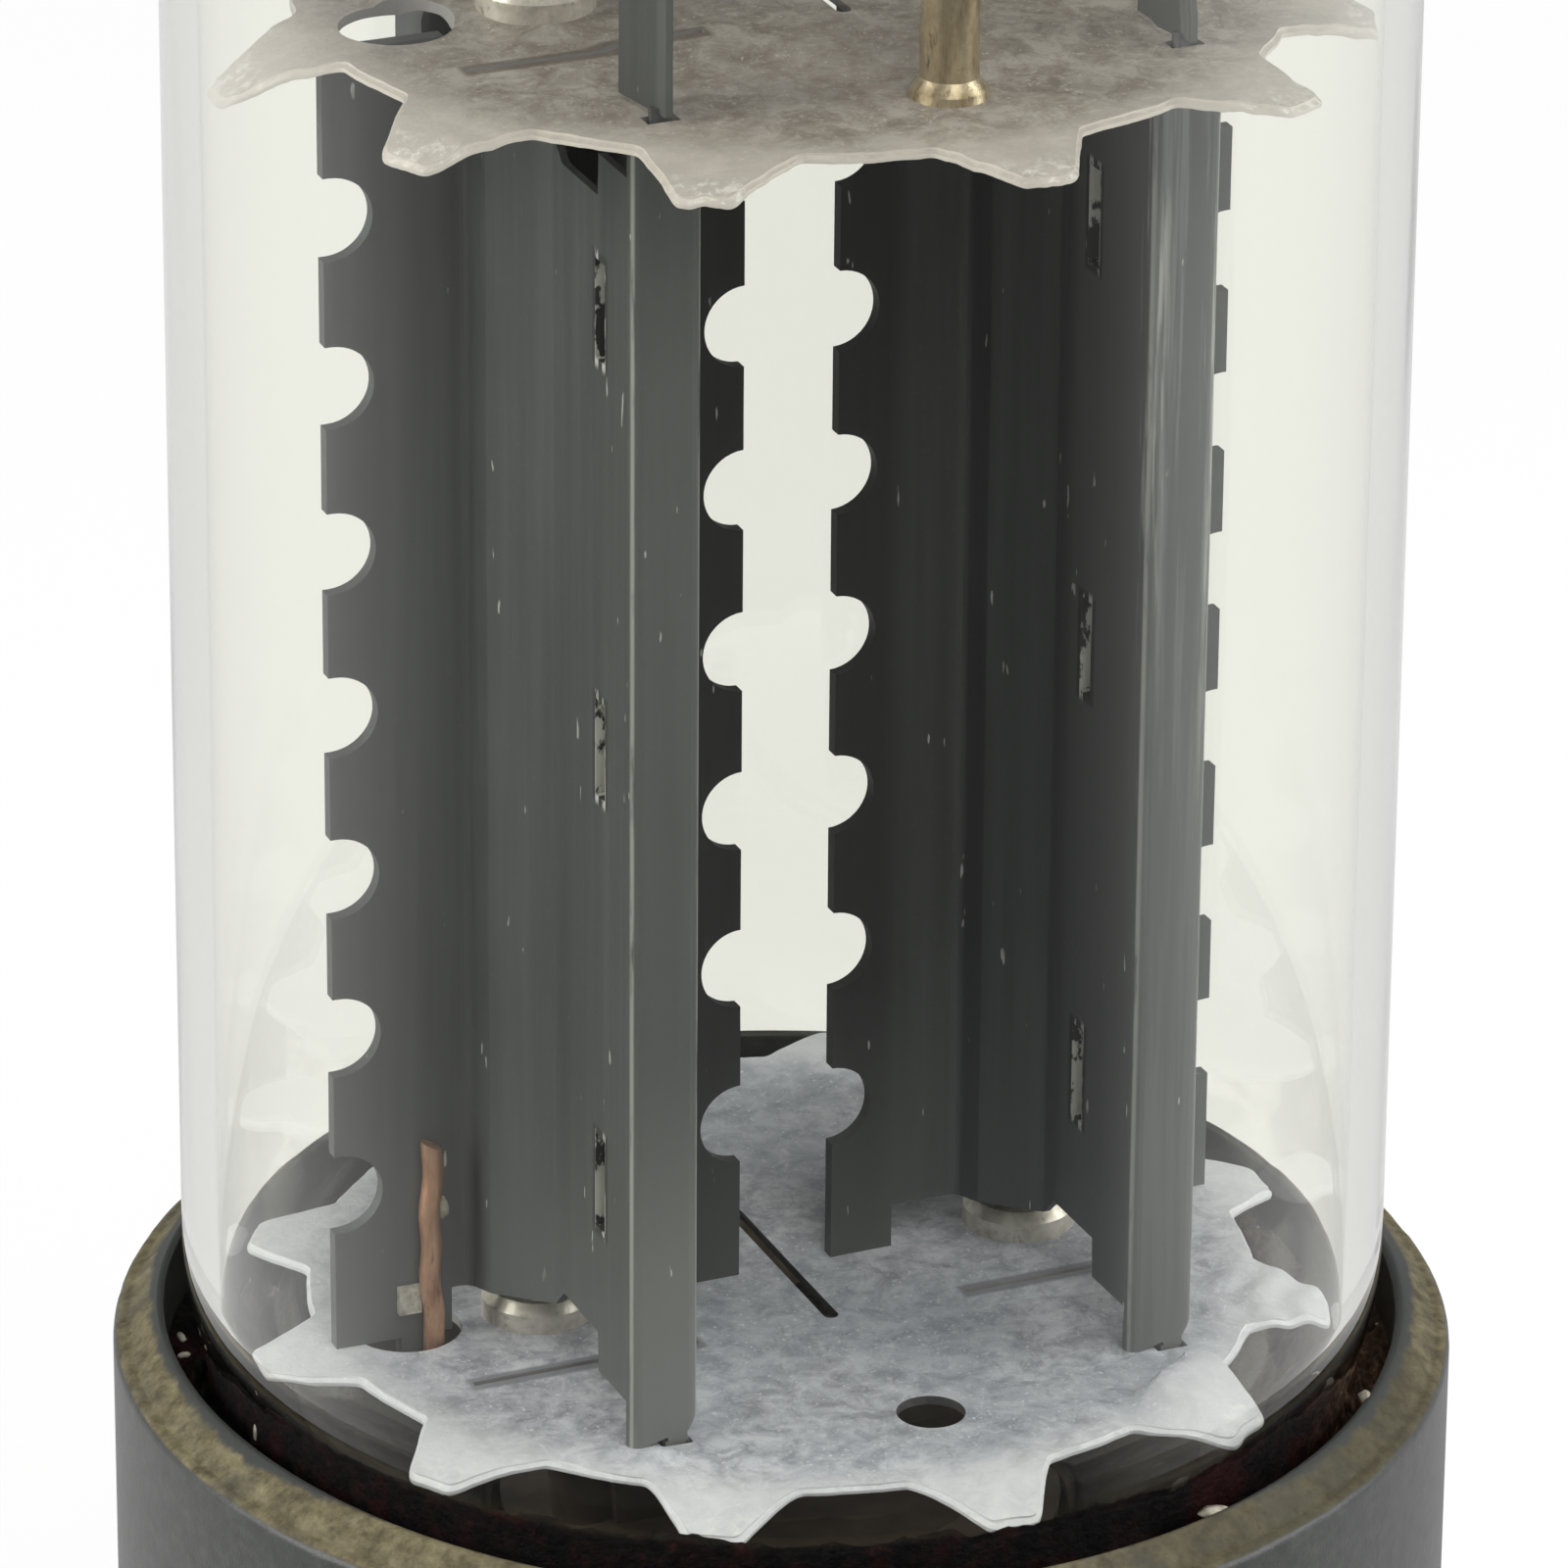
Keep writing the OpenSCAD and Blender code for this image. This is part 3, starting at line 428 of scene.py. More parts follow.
def mat_mica(name, low, mid, high, bright, crack_and_shade, cool):
    m = Mat(name)
    x, y, _ = m.xyz()
    mottle = m.noise(1.1, 7, 0.72, distort=0.5)
    fine = m.noise(3.6, 5, 0.7)
    drift = m.new("ShaderNodeTexNoise", Vector=m.at, Scale=1.9).outputs["Color"]
    lines_of = m.cells(1.55, m.vector_math("ADD", m.at, drift)[0], "DISTANCE_TO_EDGE")
    colour = m.ramp(mottle, (0.38, low), (0.5, mid), (0.6, high))
    low, bright, crack_and_shade = rgb(*low), rgb(*bright), rgb(*crack_and_shade)
    colour = m.mix(m.span(m.noise(0.16, 2, 0.5), 0.42, 0.62, 0, 0.4), colour, rgb(*cool))
    colour = m.mix(m.span(m.noise(1.8, 5, 0.7), 0.52, 0.66, 0, 0.45), colour, low)
    cracks = m.span(m.noise(0.5, 3, 0.6), 0.45, 0.65, 0, 0.28)
    cracks = m.times(m.span(lines_of, 0.07, 0.01), cracks)
    colour = m.mix(cracks, colour, crack_and_shade)
    colour = m.mix(m.span(fine, 0.54, 0.7, 0, 0.6), colour, bright)
    colour = m.mix(m.span(m.noise(7.5, 2, 0.5), 0.67, 0.72, 0, 0.8), colour, bright)
    # painted shade along the punched slits
    slit_shade = m.times(m.span(m.away(m.size(y), SLIT_SHADE_Y), 0.42, 0.26),
                   m.span(m.away(m.size(x), SLIT_SHADE_X), SLIT_SHADE_HALF + 0.1, SLIT_SHADE_HALF - 0.1))
    colour = m.mix(m.times(slit_shade, 0.85), colour, crack_and_shade)
    # painted light, paler towards the rim, out of the shade of the cage
    rim = m.span(m.radius(), MICA_R - 1.6, MICA_R + 0.6, 0, 0.7)
    colour = m.mix(rim, colour, bright)
    # painted glints, near white, at the tips of the teeth
    tip_glints = m.span(m.noise(3.2, 5, 0.7), 0.46, 0.7, 0, 0.9)
    colour = m.mix(m.times(m.span(m.radius(), 13.4, 14.3), tip_glints), colour, rgb(248, 246, 243))
    # the cut edges, pale at the rim, and painted shade on the walls of the middle holes
    sides = m.span(m.size(m.normal_z()), 0.8, 0.45, 0, 0.9)
    outside = m.span(m.radius(), MICA_R - 0.9, MICA_R - 0.5)
    colour = m.mix(m.times(sides, outside), colour, bright)
    walls = m.mix(m.span(m.size(x), 3.5, 3.7), rgb(60, 56, 54), rgb(150, 148, 148))
    colour = m.mix(m.times(sides, m.minus(1.0, outside)), colour, walls)
    height = m.plus(m.times(mottle, 0.55), m.times(fine, 0.3))
    height = m.minus(height, m.times(cracks, 0.15))
    rough = m.span(m.noise(2.4, 4, 0.6), 0.3, 0.7, 0.38, 0.66)
    return m.surface(colour, rough, m.bump(height, 0.1, 0.8), Specular_IOR_Level=0.5)


def mat_metal(name, light, dark, stain, rough, metallic, stretch=1, scale=2.0):
    m = Mat(name)
    at = m.stretched(1, 1, stretch)
    patch = m.noise(scale, 5, 0.62, at)
    colour = m.ramp(patch, (0.32, dark), (0.58, light))
    stained = m.span(m.noise(scale * 1.7, 4, 0.6, at), 0.56, 0.72, 0, 0.8)
    colour = m.mix(stained, colour, rgb(*stain))
    return m.surface(colour, m.span(patch, 0.3, 0.7, rough[1], rough[0]),
                     m.bump(m.noise(scale * 5, 3, 0.6, at), 0.02, 0.5), metallic=metallic)


def mat_grainy(name, scale, dark, pale, upto, rough, relief):
    m = Mat(name)
    grain = m.noise(scale, 4, 0.6)
    return m.surface(m.ramp(grain, (0.3, dark), (upto, pale)), rough, m.bump(grain, relief, 0.6))


BASE = mat_base()
CEMENT = mat_cement()
GLASS = mat_glass()
STEM_GLASS = mat_stem()
FILM = mat_film()
ANODE = mat_anode()
LOWER_MICA = mat_mica("sprayed mica", (158, 160, 170), (194, 196, 206), (218, 220, 228),
                      (240, 241, 246), (136, 137, 144), (172, 178, 192))
UPPER_MICA = mat_mica("clear mica", (140, 131, 123), (166, 158, 150), (188, 181, 175),
                      (212, 205, 198), (112, 102, 94), (160, 150, 144))
COPPER = mat_metal("copper", (200, 160, 132), (160, 118, 92), (118, 88, 70), (0.35, 0.55), 0.6,
                   0.25, 3.0)
BRASS = mat_metal("post brass", (186, 172, 146), (130, 114, 88), (88, 74, 56), (0.25, 0.45), 0.75,
                  0.35, 2.4)
PIN = mat_metal("pin plating", (205, 200, 188), (168, 160, 142), (120, 106, 84), (0.25, 0.45),
                0.95, 0.3, 1.4)
NICKEL = mat_metal("nickel", (206, 203, 195), (160, 157, 150), (110, 104, 96), (0.22, 0.42), 0.9)
WIRE = mat_metal("nickel wire", (150, 149, 145), (112, 110, 106), (78, 72, 66), (0.3, 0.5), 0.9)
STEEL = mat_metal("fired steel", (134, 131, 128), (96, 92, 88), (64, 54, 46), (0.3, 0.55), 0.9)
EYELET = mat_metal("eyelet nickel", (214, 209, 200), (180, 174, 164), (150, 143, 132),
                   (0.3, 0.5), 0.55)
CERAMIC = mat_grainy("heater coating", 10, (214, 212, 206), (240, 239, 235), 0.7, 0.85, 0.03)
PALE = mat_grainy("pale crumb", 4, (140, 130, 112), (196, 190, 174), 0.65, 0.5, 0.04)
BEAD = mat_grainy("weld bead", 4, (140, 132, 122), (205, 200, 190), 0.65, 0.5, 0.04)


def dress(name, material):
    slots = NODES[name].data.materials
    slots.clear()
    slots.append(material)


# ---------------------------------------------------------------- mesh helpers
SHARP = math.radians(38)


def clamp(v):
    return min(1.0, max(0.0, v))


def polar(r, a):
    return r * math.cos(a), r * math.sin(a)


def angles(n):
    return [FULL_TURN * k / n for k in range(n)]


def fractal(p, octaves):
    return noise.fractal(p, 1.0, 2.0, octaves)


def link(name, data):
    obj = bpy.data.objects.new(name, data)
    bpy.context.scene.collection.objects.link(obj)
    return obj


def piece(name, verts, faces, materials, replaced=(), slots=None):
    """A smooth piece from vertices in millimetres, its faces turned outwards."""
    data = bpy.data.meshes.new(name)
    data.from_pydata([tuple(Vector(v) * MM) for v in verts], [], faces)
    data.update()
    obj = link(name, data)
    for m in materials:
        data.materials.append(m)
    data.polygons.foreach_set("use_smooth", [True] * len(data.polygons))
    if slots:
        data.polygons.foreach_set("material_index", slots)
    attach(obj, "root")
    if replaced:
        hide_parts(*replaced)
    bm = bmesh.new()
    bm.from_mesh(data)
    bmesh.ops.recalc_face_normals(bm, faces=bm.faces)
    bm.to_mesh(data)
    bm.free()
    return obj


def tool(name, bm):
    """A passing object to cut or join with."""
    data = bpy.data.meshes.new(name)
    bm.to_mesh(data)
    bm.free()
    return link(name, data)


def strip(a, b):
    """The quads between two closed rows of vertices."""
    n = len(a)
    return [(a[k], a[(k + 1) % n], b[(k + 1) % n], b[k]) for k in range(n)]


def lathe(profile, seg):
    """Revolves a closed profile of (r, z); points on the axis become one vertex.

    Returns the vertices, the faces and the place of each face in the profile.
    """
    verts, rows = [], []
    for r, z in profile:
        if r < 1e-6:
            rows.append([len(verts)] * seg)
            verts.append((0, 0, z))
        else:
            rows.append(list(range(len(verts), len(verts) + seg)))
            verts += [(*polar(r, a), z) for a in angles(seg)]
    faces, owner = [], []
    for i, row in enumerate(rows):
        for quad in strip(row, rows[(i + 1) % len(rows)]):
            quad = [v for k, v in enumerate(quad) if v != quad[k - 1]]
            if len(set(quad)) >= 3:
                faces.append(tuple(quad))
                owner.append(i)
    return verts, faces, owner


def arc(cx, cz, r, a0, a1, n):
    spots = [polar(r, math.radians(a0 + (a1 - a0) * k / n)) for k in range(n + 1)]
    return [(cx + x, cz + z) for x, z in spots]


def tooth(deg, middle, half=11):
    """1 at a middle, falling to 0 at half that many degrees to its sides."""
    d = abs((deg - middle + 180) % 360 - 180)
    return 0.0 if d >= half else 0.5 + 0.5 * math.cos(math.pi * d / half)


def lines(points, step):
    """Points along straight runs, no further apart than step."""
    found = []
    for (x0, z0), (x1, z1) in zip(points, points[1:]):
        n = max(1, math.ceil(math.hypot(x1 - x0, z1 - z0) / step))
        found += [(x0 + (x1 - x0) * k / n, z0 + (z1 - z0) * k / n) for k in range(n)]
    return found + [points[-1]]


def apply_modifiers(obj):
    graph = bpy.context.evaluated_depsgraph_get()
    made = bpy.data.meshes.new_from_object(obj.evaluated_get(graph))
    obj.modifiers.clear()
    old = obj.data
    obj.data = made
    bpy.data.meshes.remove(old)


# ---------------------------------------------------------------- bulb
LATHE_STEPS = 256
SHOULDER_X = BULB_R - SHOULDER_R
SHOULDER_LIFT = math.sqrt((CROWN_R - SHOULDER_R) ** 2 - SHOULDER_X ** 2)
CROWN_Z = BULB_TOP - CROWN_R
SHOULDER_Z = CROWN_Z + SHOULDER_LIFT
CROWN_DEG = math.degrees(math.atan2(SHOULDER_LIFT, SHOULDER_X))
TURN_COS, TURN_SIN = polar(1, math.radians(TURN_DEG))
TURN_END = (TURN_X + BOTTOM_R * TURN_COS, TURN_Z - BOTTOM_R * TURN_SIN)
SEAL_Z = TURN_END[1] - (TURN_END[0] - SEAL_R) / math.tan(math.radians(TURN_DEG))
FILM_DEPTH = 8.5


def bulb_wall(inset):
    """The bulb's half profile from the seal up to the pole, drawn in by inset."""
    end = (TURN_END[0] - TURN_COS * inset, TURN_END[1] + TURN_SIN * inset)
    low_r = SEAL_R - inset
    low = (low_r, end[1] - (end[0] - low_r) * TURN_COS / TURN_SIN)
    points = lines([low, end], 0.8)[:-1]
    points += arc(TURN_X, TURN_Z, BOTTOM_R - inset, -TURN_DEG, 0, 22)
    points += lines([(BULB_R - inset, TURN_Z), (BULB_R - inset, SHOULDER_Z)], 5)[1:]
    points += arc(SHOULDER_X, SHOULDER_Z, SHOULDER_R - inset, 0, CROWN_DEG, 24)[1:]
    points += arc(0, CROWN_Z, CROWN_R - inset, CROWN_DEG, 90, 30)[1:]
    points[-1] = (0.0, points[-1][1])
    return points


def make_bulb():
    outer, inner = bulb_wall(0), bulb_wall(GLASS_T)
    verts, faces, owner = lathe(outer + inner[::-1], LATHE_STEPS)
    slots = []
    for face, row in zip(faces, owner):
        z = min(verts[v][2] for v in face)
        slots.append(1 if row >= len(outer) and z > BULB_TOP - FILM_DEPTH else 0)
    piece("bulb", verts, faces, [GLASS, FILM], ["glass_bulb"], slots)


make_bulb()


# ---------------------------------------------------------------- base
RIM_ROUND, RIM_EDGE = 0.32, 0.16
# where the rim swells inwards: its direction and half width in degrees, and how far
SWELLS = ((-165, 48, 0.26), (-38, 55, 0.18))


def base_profile():
    floor_z, inner_z, floor_in = KEY_LEN + FLOOR_T, RIM_Z + RIM_RISE, KEY_R - KEY_WALL
    path = lines([(0, 0), (KEY_R - 0.8, 0)], 0.8)
    path += [(KEY_R - 0.62, 0.05), (KEY_R - 0.05, 0.62)]
    path += lines([(KEY_R, 0.8), (KEY_R, KEY_LEN - 0.3)], 2)
    path += [(KEY_R + 0.08, KEY_LEN - 0.1), (KEY_R + 0.3, KEY_LEN)]
    path += lines([(KEY_R + 0.6, KEY_LEN), (BASE_R - 0.9, KEY_LEN)], 1.5)
    path += arc(BASE_R - 0.75, KEY_LEN + 0.75, 0.75, -80, 0, 8)
    path += lines([(BASE_R, KEY_LEN + 1.2), (BASE_R, RIM_Z - RIM_ROUND - 0.6)], 1.5)
    path += arc(BASE_R - RIM_ROUND, RIM_Z - RIM_ROUND, RIM_ROUND, 0, 90, 8)
    path += lines([(BASE_R - RIM_ROUND - 0.08, RIM_Z + 0.01),
                   (RIM_IN + RIM_EDGE + 0.02, inner_z)], 0.12)
    path += arc(RIM_IN + RIM_EDGE, inner_z - RIM_EDGE, RIM_EDGE, 90, 180, 5)
    path += lines([(RIM_IN, inner_z - RIM_EDGE - 0.1), (RIM_IN, floor_z)], 1.5)
    path += lines([(RIM_IN - 0.2, floor_z), (floor_in, floor_z)], 2)
    path += lines([(floor_in, floor_z - 0.2), (floor_in, KEY_WALL)], 2)
    return path + [(0, KEY_WALL)]


def handled(x, y, z):
    """Very small dents along the rim's edges, and the rim's swells."""
    r = math.hypot(x, y)
    near = max(0.0, 1 - abs(z - RIM_Z) / 0.5)
    if near > 0 and r > RIM_IN - 0.1:
        sink = 0.035 * near * min(0.0, fractal(Vector((x * 1.6, y * 1.6, z * 1.6)), 3) - 0.1)
        x, y = x * (1 + sink / r), y * (1 + sink / r)
        z += sink
    if RIM_IN - 0.01 < r < RIM_IN + 0.6 and z > RIM_Z - 1.2:
        deg = math.degrees(math.atan2(y, x))
        swell = sum(far * tooth(deg, middle, half) for middle, half, far in SWELLS)
        swell *= 1 - (r - RIM_IN) / 0.6
        x, y = x * (1 - swell / r), y * (1 - swell / r)
    return x, y, z


def make_base():
    verts, faces, _ = lathe(base_profile(), LATHE_STEPS)
    base = piece("base", [handled(*v) for v in verts], faces, [BASE], ["base_shell"])
    # the key's rib, and the holes that the pins' necks pass through
    rib = bmesh.new()
    bmesh.ops.create_cube(rib, size=1)
    for v in rib.verts:
        v.co.x *= RIB_W * MM
        v.co.y = (-KEY_R + 0.6 if v.co.y > 0 else -KEY_R - RIB_OUT) * MM
        v.co.z = (KEY_LEN + 0.3 if v.co.z > 0 else 0.9) * MM
    bmesh.ops.bevel(rib, geom=list(rib.edges), offset=0.3 * MM, segments=3, affect="EDGES")
    holes = bmesh.new()
    for k in range(PIN_COUNT):
        a = math.radians(PIN_FIRST_DEG + 360 / PIN_COUNT * k)
        x, y = polar(PIN_CIRCLE / 2, a)
        place = Matrix.Translation((x * MM, y * MM, (KEY_LEN + FLOOR_T / 2) * MM))
        bmesh.ops.create_cone(holes, cap_ends=True, segments=32, radius1=PIN_NECK_R * MM,
                              radius2=PIN_NECK_R * MM, depth=(FLOOR_T + 1) * MM, matrix=place)
    tools = (("UNION", tool("rib_tool", rib)), ("DIFFERENCE", tool("hole_tool", holes)))
    for kind, other in tools:
        b = base.modifiers.new(kind, "BOOLEAN")
        b.operation, b.object, b.solver = kind, other, "EXACT"
    apply_modifiers(base)
    for _, other in tools:
        bpy.data.objects.remove(other)
    base.data.polygons.foreach_set("use_smooth", [True] * len(base.data.polygons))
    base.data.set_sharp_from_angle(angle=math.radians(35))


make_base()


# ---------------------------------------------------------------- cement
def glass_out_r(z):
    """Outer radius of the bulb's lower part at height z."""
    if z > TURN_Z:
        return BULB_R
    if z > TURN_END[1]:
        return TURN_X + math.sqrt(BOTTOM_R ** 2 - (TURN_Z - z) ** 2)
    return TURN_END[0] - (TURN_END[1] - z) * TURN_SIN / TURN_COS


def on_cement(a, height):
    return Vector((math.cos(a) * 15, math.sin(a) * 15, height))


def lump(a, t):
    p = on_cement(a, t * 3)
    small = noise.turbulence(p * 2.4 + Vector((9, 3, 1)), 4, False)
    return 0.22 * fractal(p * 0.55, 3) + 0.3 * (small - 0.5)


def heap(a):
    """The cement is heaped up against the glass in front."""
    t = clamp((math.cos(a - math.radians(NEAR_DEG)) + 0.15) / 0.65)
    return t * t * (3 - 2 * t) * (2.65 + 0.3 * fractal(on_cement(a, 2) * 0.6, 3))


def make_cement():
    seg, across, up_glass, up_crest = 720, 15, 4, 6
    top, low = RIM_Z - CEMENT_DROP, SEAL_Z - CEMENT_UNDER
    out_r, touch = RIM_IN - 0.002, 0.03
    crest, settle, wall_drop = 0.35, 0.12, 0.4
    wall_top = top - wall_drop
    verts, rows = [], []

    def row(radius, level):
        start = len(verts)
        for a in angles(seg):
            r, z = radius(a), level(a)
            verts.append((*polar(r, a), z))
        rows.append(list(range(start, start + seg)))

    def row_up(level):
        """A row that lies against the glass."""
        row(lambda a: glass_out_r(level(a)) - touch, level)

    def against(a):
        return top + crest - settle + heap(a) + lump(a, 0) * 0.4

    for i in range(across + 1):
        t = i / across
        hug = math.sin(math.pi * t) ** 0.5 if 0 < t < 1 else 0

        def level(a):
            climb = crest * (1 - t) ** 3 + 0.1 * t ** 4 + heap(a) * (1 - t) ** 1.4
            return top + climb - settle + lump(a, t) * (0.4 + 0.6 * hug)

        def radius(a):
            inner = glass_out_r(level(a)) - touch
            return inner + (out_r - inner) * t

        row(radius, level)
    for r, z in ((out_r, low + 0.4), (SEAL_R + 1, low), (SEAL_R + 0.3, low)):
        row(lambda a: r, lambda a: z)
    foot, bend_z = SEAL_Z + 0.25, TURN_END[1]
    levels = [foot + (bend_z - foot) * k / up_glass for k in range(up_glass)]
    levels += [bend_z + (wall_top - bend_z) * k / up_glass for k in range(up_glass + 1)]
    for z in levels:
        row_up(lambda a: z)
    for k in range(1, up_crest):
        row_up(lambda a: wall_top + (against(a) - top + wall_drop) * k / up_crest)
    faces = []
    for i, a in enumerate(rows):
        faces += strip(a, rows[(i + 1) % len(rows)])
    piece("cement", verts, faces, [CEMENT], ["base_cement"])


make_cement()


# ---------------------------------------------------------------- micas
def tooth_reach(delta, tip_r):
    """Radius of a tooth's outline at an angle delta from its middle."""
    d = abs(delta)
    root, half = TOOTH_ROOT / 2, TOOTH_TIP / 2
    x0, x1 = MICA_R * 0.985, tip_r - 0.12
    slope = (half - root) / (x1 - x0)
    side = (root - x0 * slope) / (math.sin(d) - slope * math.cos(d))
    flat = tip_r / math.cos(d)
    cut = (half + x1 * 1.5) / (math.sin(d) + 1.5 * math.cos(d))
    return min(side, flat, cut)


def mica_edge(tip_r, turn, seed, twist):
    """The rim's outline, rounded and a little ragged; twist turns single teeth."""
    seg, reach, raw = 1440, 2, []
    pitch = FULL_TURN / MICA_TEETH
    for a in angles(seg):
        number = round((a - math.radians(turn)) / pitch) % MICA_TEETH
        a -= math.radians(twist.get(number * 30, 0))
        rel = (a - math.radians(turn) + math.pi / 2 + math.pi / MICA_TEETH) % pitch
        raw.append(max(MICA_R, tooth_reach(rel - math.pi / MICA_TEETH, tip_r)))
    out = []
    for k, a in enumerate(angles(seg)):
        near = [raw[(k + j) % seg] for j in range(-reach, reach + 1)]
        r = sum(near) / len(near)
        rag = 0.035 * fractal(Vector((math.cos(a) * r, math.sin(a) * r, seed)) * 1.1, 4) - 0.02
        r = min(r + rag, tip_r) if r < tip_r - 0.3 else r - abs(rag) * 0.6
        out.append(Vector(polar(r, a)))
    return out


def ring_points(x, y, r, n):
    return [Vector((x + px, y + py)) for px, py in (polar(r, a) for a in angles(n))]


def box_points(x, y, w, h, step):
    c = [(x - w / 2, y - h / 2), (x + w / 2, y - h / 2), (x + w / 2, y + h / 2),
         (x - w / 2, y + h / 2)]
    return [Vector(p) for p in lines(c + c[:1], step)[:-1]]


# radii and places of the round holes, and sizes of the slits, the tabs' slots and the middle slot
CATHODE_HOLE, LEAD_HOLE, POST_HOLE = 1.12, 1.4, 0.88
LEAD_HOLE_AT, POST_AT = (3.5, 0.3), (0.15, 9.15)
SLIT_Y, SLIT_LEN, SLIT_W, TAB_Y, TAB_W, TAB_D = 3.3, 6.15, 0.2, 8.1, 0.85, 0.5
MIDDLE_SLOT = (0.2, 3.2)


def mica_holes(tab_at):
    """Holes for the cathodes, leads and posts, slits and slots for the anodes' tabs."""
    holes = []
    for side in (-1, 1):
        lead_x = side * (ANODE_X + LEAD_HOLE_AT[0])
        holes.append(ring_points(side * ANODE_X, 0, CATHODE_HOLE, 48))
        holes.append(ring_points(lead_x, LEAD_HOLE_AT[1], LEAD_HOLE, 64))
        holes.append(ring_points(POST_AT[0], side * POST_AT[1], POST_HOLE, 48))
        for fold in (-1, 1):
            slit_x, tab_x = side * (2 * ANODE_X - 0.05) / 2, side * ANODE_X + tab_at
            holes.append(box_points(slit_x, fold * SLIT_Y, SLIT_LEN, SLIT_W, 0.3))
            holes.append(box_points(tab_x, fold * TAB_Y, TAB_W, TAB_D, 0.2))
    # the slot in the middle, round at its ends
    slot, (w, h) = [], MIDDLE_SLOT
    for end, start in ((-1, 1), (1, 0)):
        slot += [Vector((end * w, end * (2 * h * k / 16) - end * h)) for k in range(17)]
        ends = [polar(w, math.pi * (start + k / 8)) for k in range(1, 8)]
        slot += [Vector((x, y + end * h)) for x, y in ends]
    return holes + [slot]


def inside(p, loop):
    found = False
    for a, b in zip(loop, loop[-1:] + loop):
        if (a.y > p.y) != (b.y > p.y):
            if p.x < (b.x - a.x) * (p.y - a.y) / (b.y - a.y) + a.x:
                found = not found
    return found


# the mesh over a mica, in rows of triangles: step, a row's share of it, shake and extent
GRID, GRID_ROW, GRID_SHAKE, GRID_R, GRID_HALF = 0.34, 0.866, 0.05, 15, 46
# the rim's rounding: depth below the top, and how much of the bite is left
RIM_LAYERS = ((0.06, 0.55), (0.09, 0.25), (0.13, 0.0), (0.19, 0.0))


def grid_points(holes, boxes, skin, tip_r, rng):
    """Shaken points all over a mica, clear of its holes and its rim."""
    n, found = len(skin), []
    rows = int(GRID_R / (GRID * GRID_ROW))
    for j in range(-rows, rows + 1):
        for i in range(-GRID_HALF, GRID_HALF + 1):
            x = (i + (0.5 if j % 2 else 0)) * GRID + rng.uniform(-GRID_SHAKE, GRID_SHAKE)
            y = j * GRID * GRID_ROW + rng.uniform(-GRID_SHAKE, GRID_SHAKE)
            p, r = Vector((x, y)), math.hypot(x, y)
            k = int(round((math.atan2(y, x) % FULL_TURN) / FULL_TURN * n)) % n
            if r > tip_r - 0.3 or r > skin[k].length - 0.2:
                continue
            near = [h for h, b in zip(holes, boxes) if b[0] < x < b[1] and b[2] < y < b[3]]
            if not any(inside(p, h) or min((p - q).length for q in h) < 0.12 for h in near):
                found.append(p)
    return found


def make_mica(name, node, material, top_z, tip_r, turn, tab_at, sag, seed, twist):
    edge = mica_edge(tip_r, turn, seed, twist)
    n = len(edge)
    outward = []
    for k in range(n):
        t = (edge[(k + 2) % n] - edge[k - 2]).normalized()
        outward.append(Vector((t.y, -t.x)))
    bite = [0.1 + 0.05 * noise.noise(Vector((e.x * 0.9, e.y * 0.9, seed + 5))) for e in edge]
    skin = [e - o * b for e, o, b in zip(edge, outward, bite)]
    holes = mica_holes(tab_at)
    points, constraint, loops = [], [], []
    for loop in [skin] + holes:
        start, count = len(points), len(loop)
        points += loop
        constraint += [(start + k, start + (k + 1) % count) for k in range(count)]
        loops.append(range(start, start + count))
    boxes = [(min(p.x for p in h) - 0.1, max(p.x for p in h) + 0.1,
              min(p.y for p in h) - 0.1, max(p.y for p in h) + 0.1) for h in holes]
    points += grid_points(holes, boxes, skin, tip_r, random.Random(seed))
    out_v, _, out_f, orig, _, _ = delaunay_2d_cdt(points, constraint, [], 1, 1e-5)
    place = {src: i for i, sources in enumerate(orig) for src in sources}
    tris = []
    for f in out_f:
        c = (out_v[f[0]] + out_v[f[1]] + out_v[f[2]]) / 3
        if not any(b[0] < c.x < b[1] and b[2] < c.y < b[3] and inside(c, h)
                   for h, b in zip(holes, boxes)):
            tris.append(tuple(f))

    def at(p, drop):
        """A point of the mica, a little below its drooping top."""
        x, y = p
        wave = fractal(Vector((x, y, seed * 3.1)) * 0.5, 2)
        wave = 0.02 * wave * clamp((math.hypot(x, y) - 9.5) / 3)
        droop = sag(math.hypot(x, y), math.degrees(math.atan2(y, x)))
        return x, y, top_z + (droop + min(0.0, wave) * 2) - drop

    verts = [at(v, 0) for v in out_v]
    base = len(verts)
    back = {place[k]: edge[k] - outward[k] * 0.02 for k in range(n)}
    verts += [at(back.get(i, v), MICA_T) for i, v in enumerate(out_v)]
    faces = tris + [(base + f[2], base + f[1], base + f[0]) for f in tris]
    ring = [place[k] for k in range(n)]
    for drop, share in RIM_LAYERS:
        start = len(verts)
        for e, o, b in zip(edge, outward, bite):
            verts.append(at(e - o * (b * share + (0.05 if share else 0.0)), drop))
        new = list(range(start, start + n))
        faces += strip(ring, new)
        ring = new
    faces += strip(ring, [base + place[k] for k in range(n)])
    for loop in loops[1:]:
        faces += strip([place[k] for k in loop], [base + place[k] for k in loop])
    used = sorted({i for f in faces for i in f})
    number = {i: q for q, i in enumerate(used)}
    faces = [tuple(number[i] for i in f) for f in faces]
    mica = piece(name, [verts[i] for i in used], faces, [material], [node])
    mica.data.set_sharp_from_angle(angle=SHARP)


def bend(r, start, tip, amount):
    """How far a rim that turns down from start has sunk at r."""
    if r <= start:
        return 0.0
    t = (r - start) / (tip - start)
    return -amount * (0.25 * t + 0.75 * t * t)


LOWER_TIP = 14.5
UPPER_TIP = BULB_R - GLASS_T - 0.1


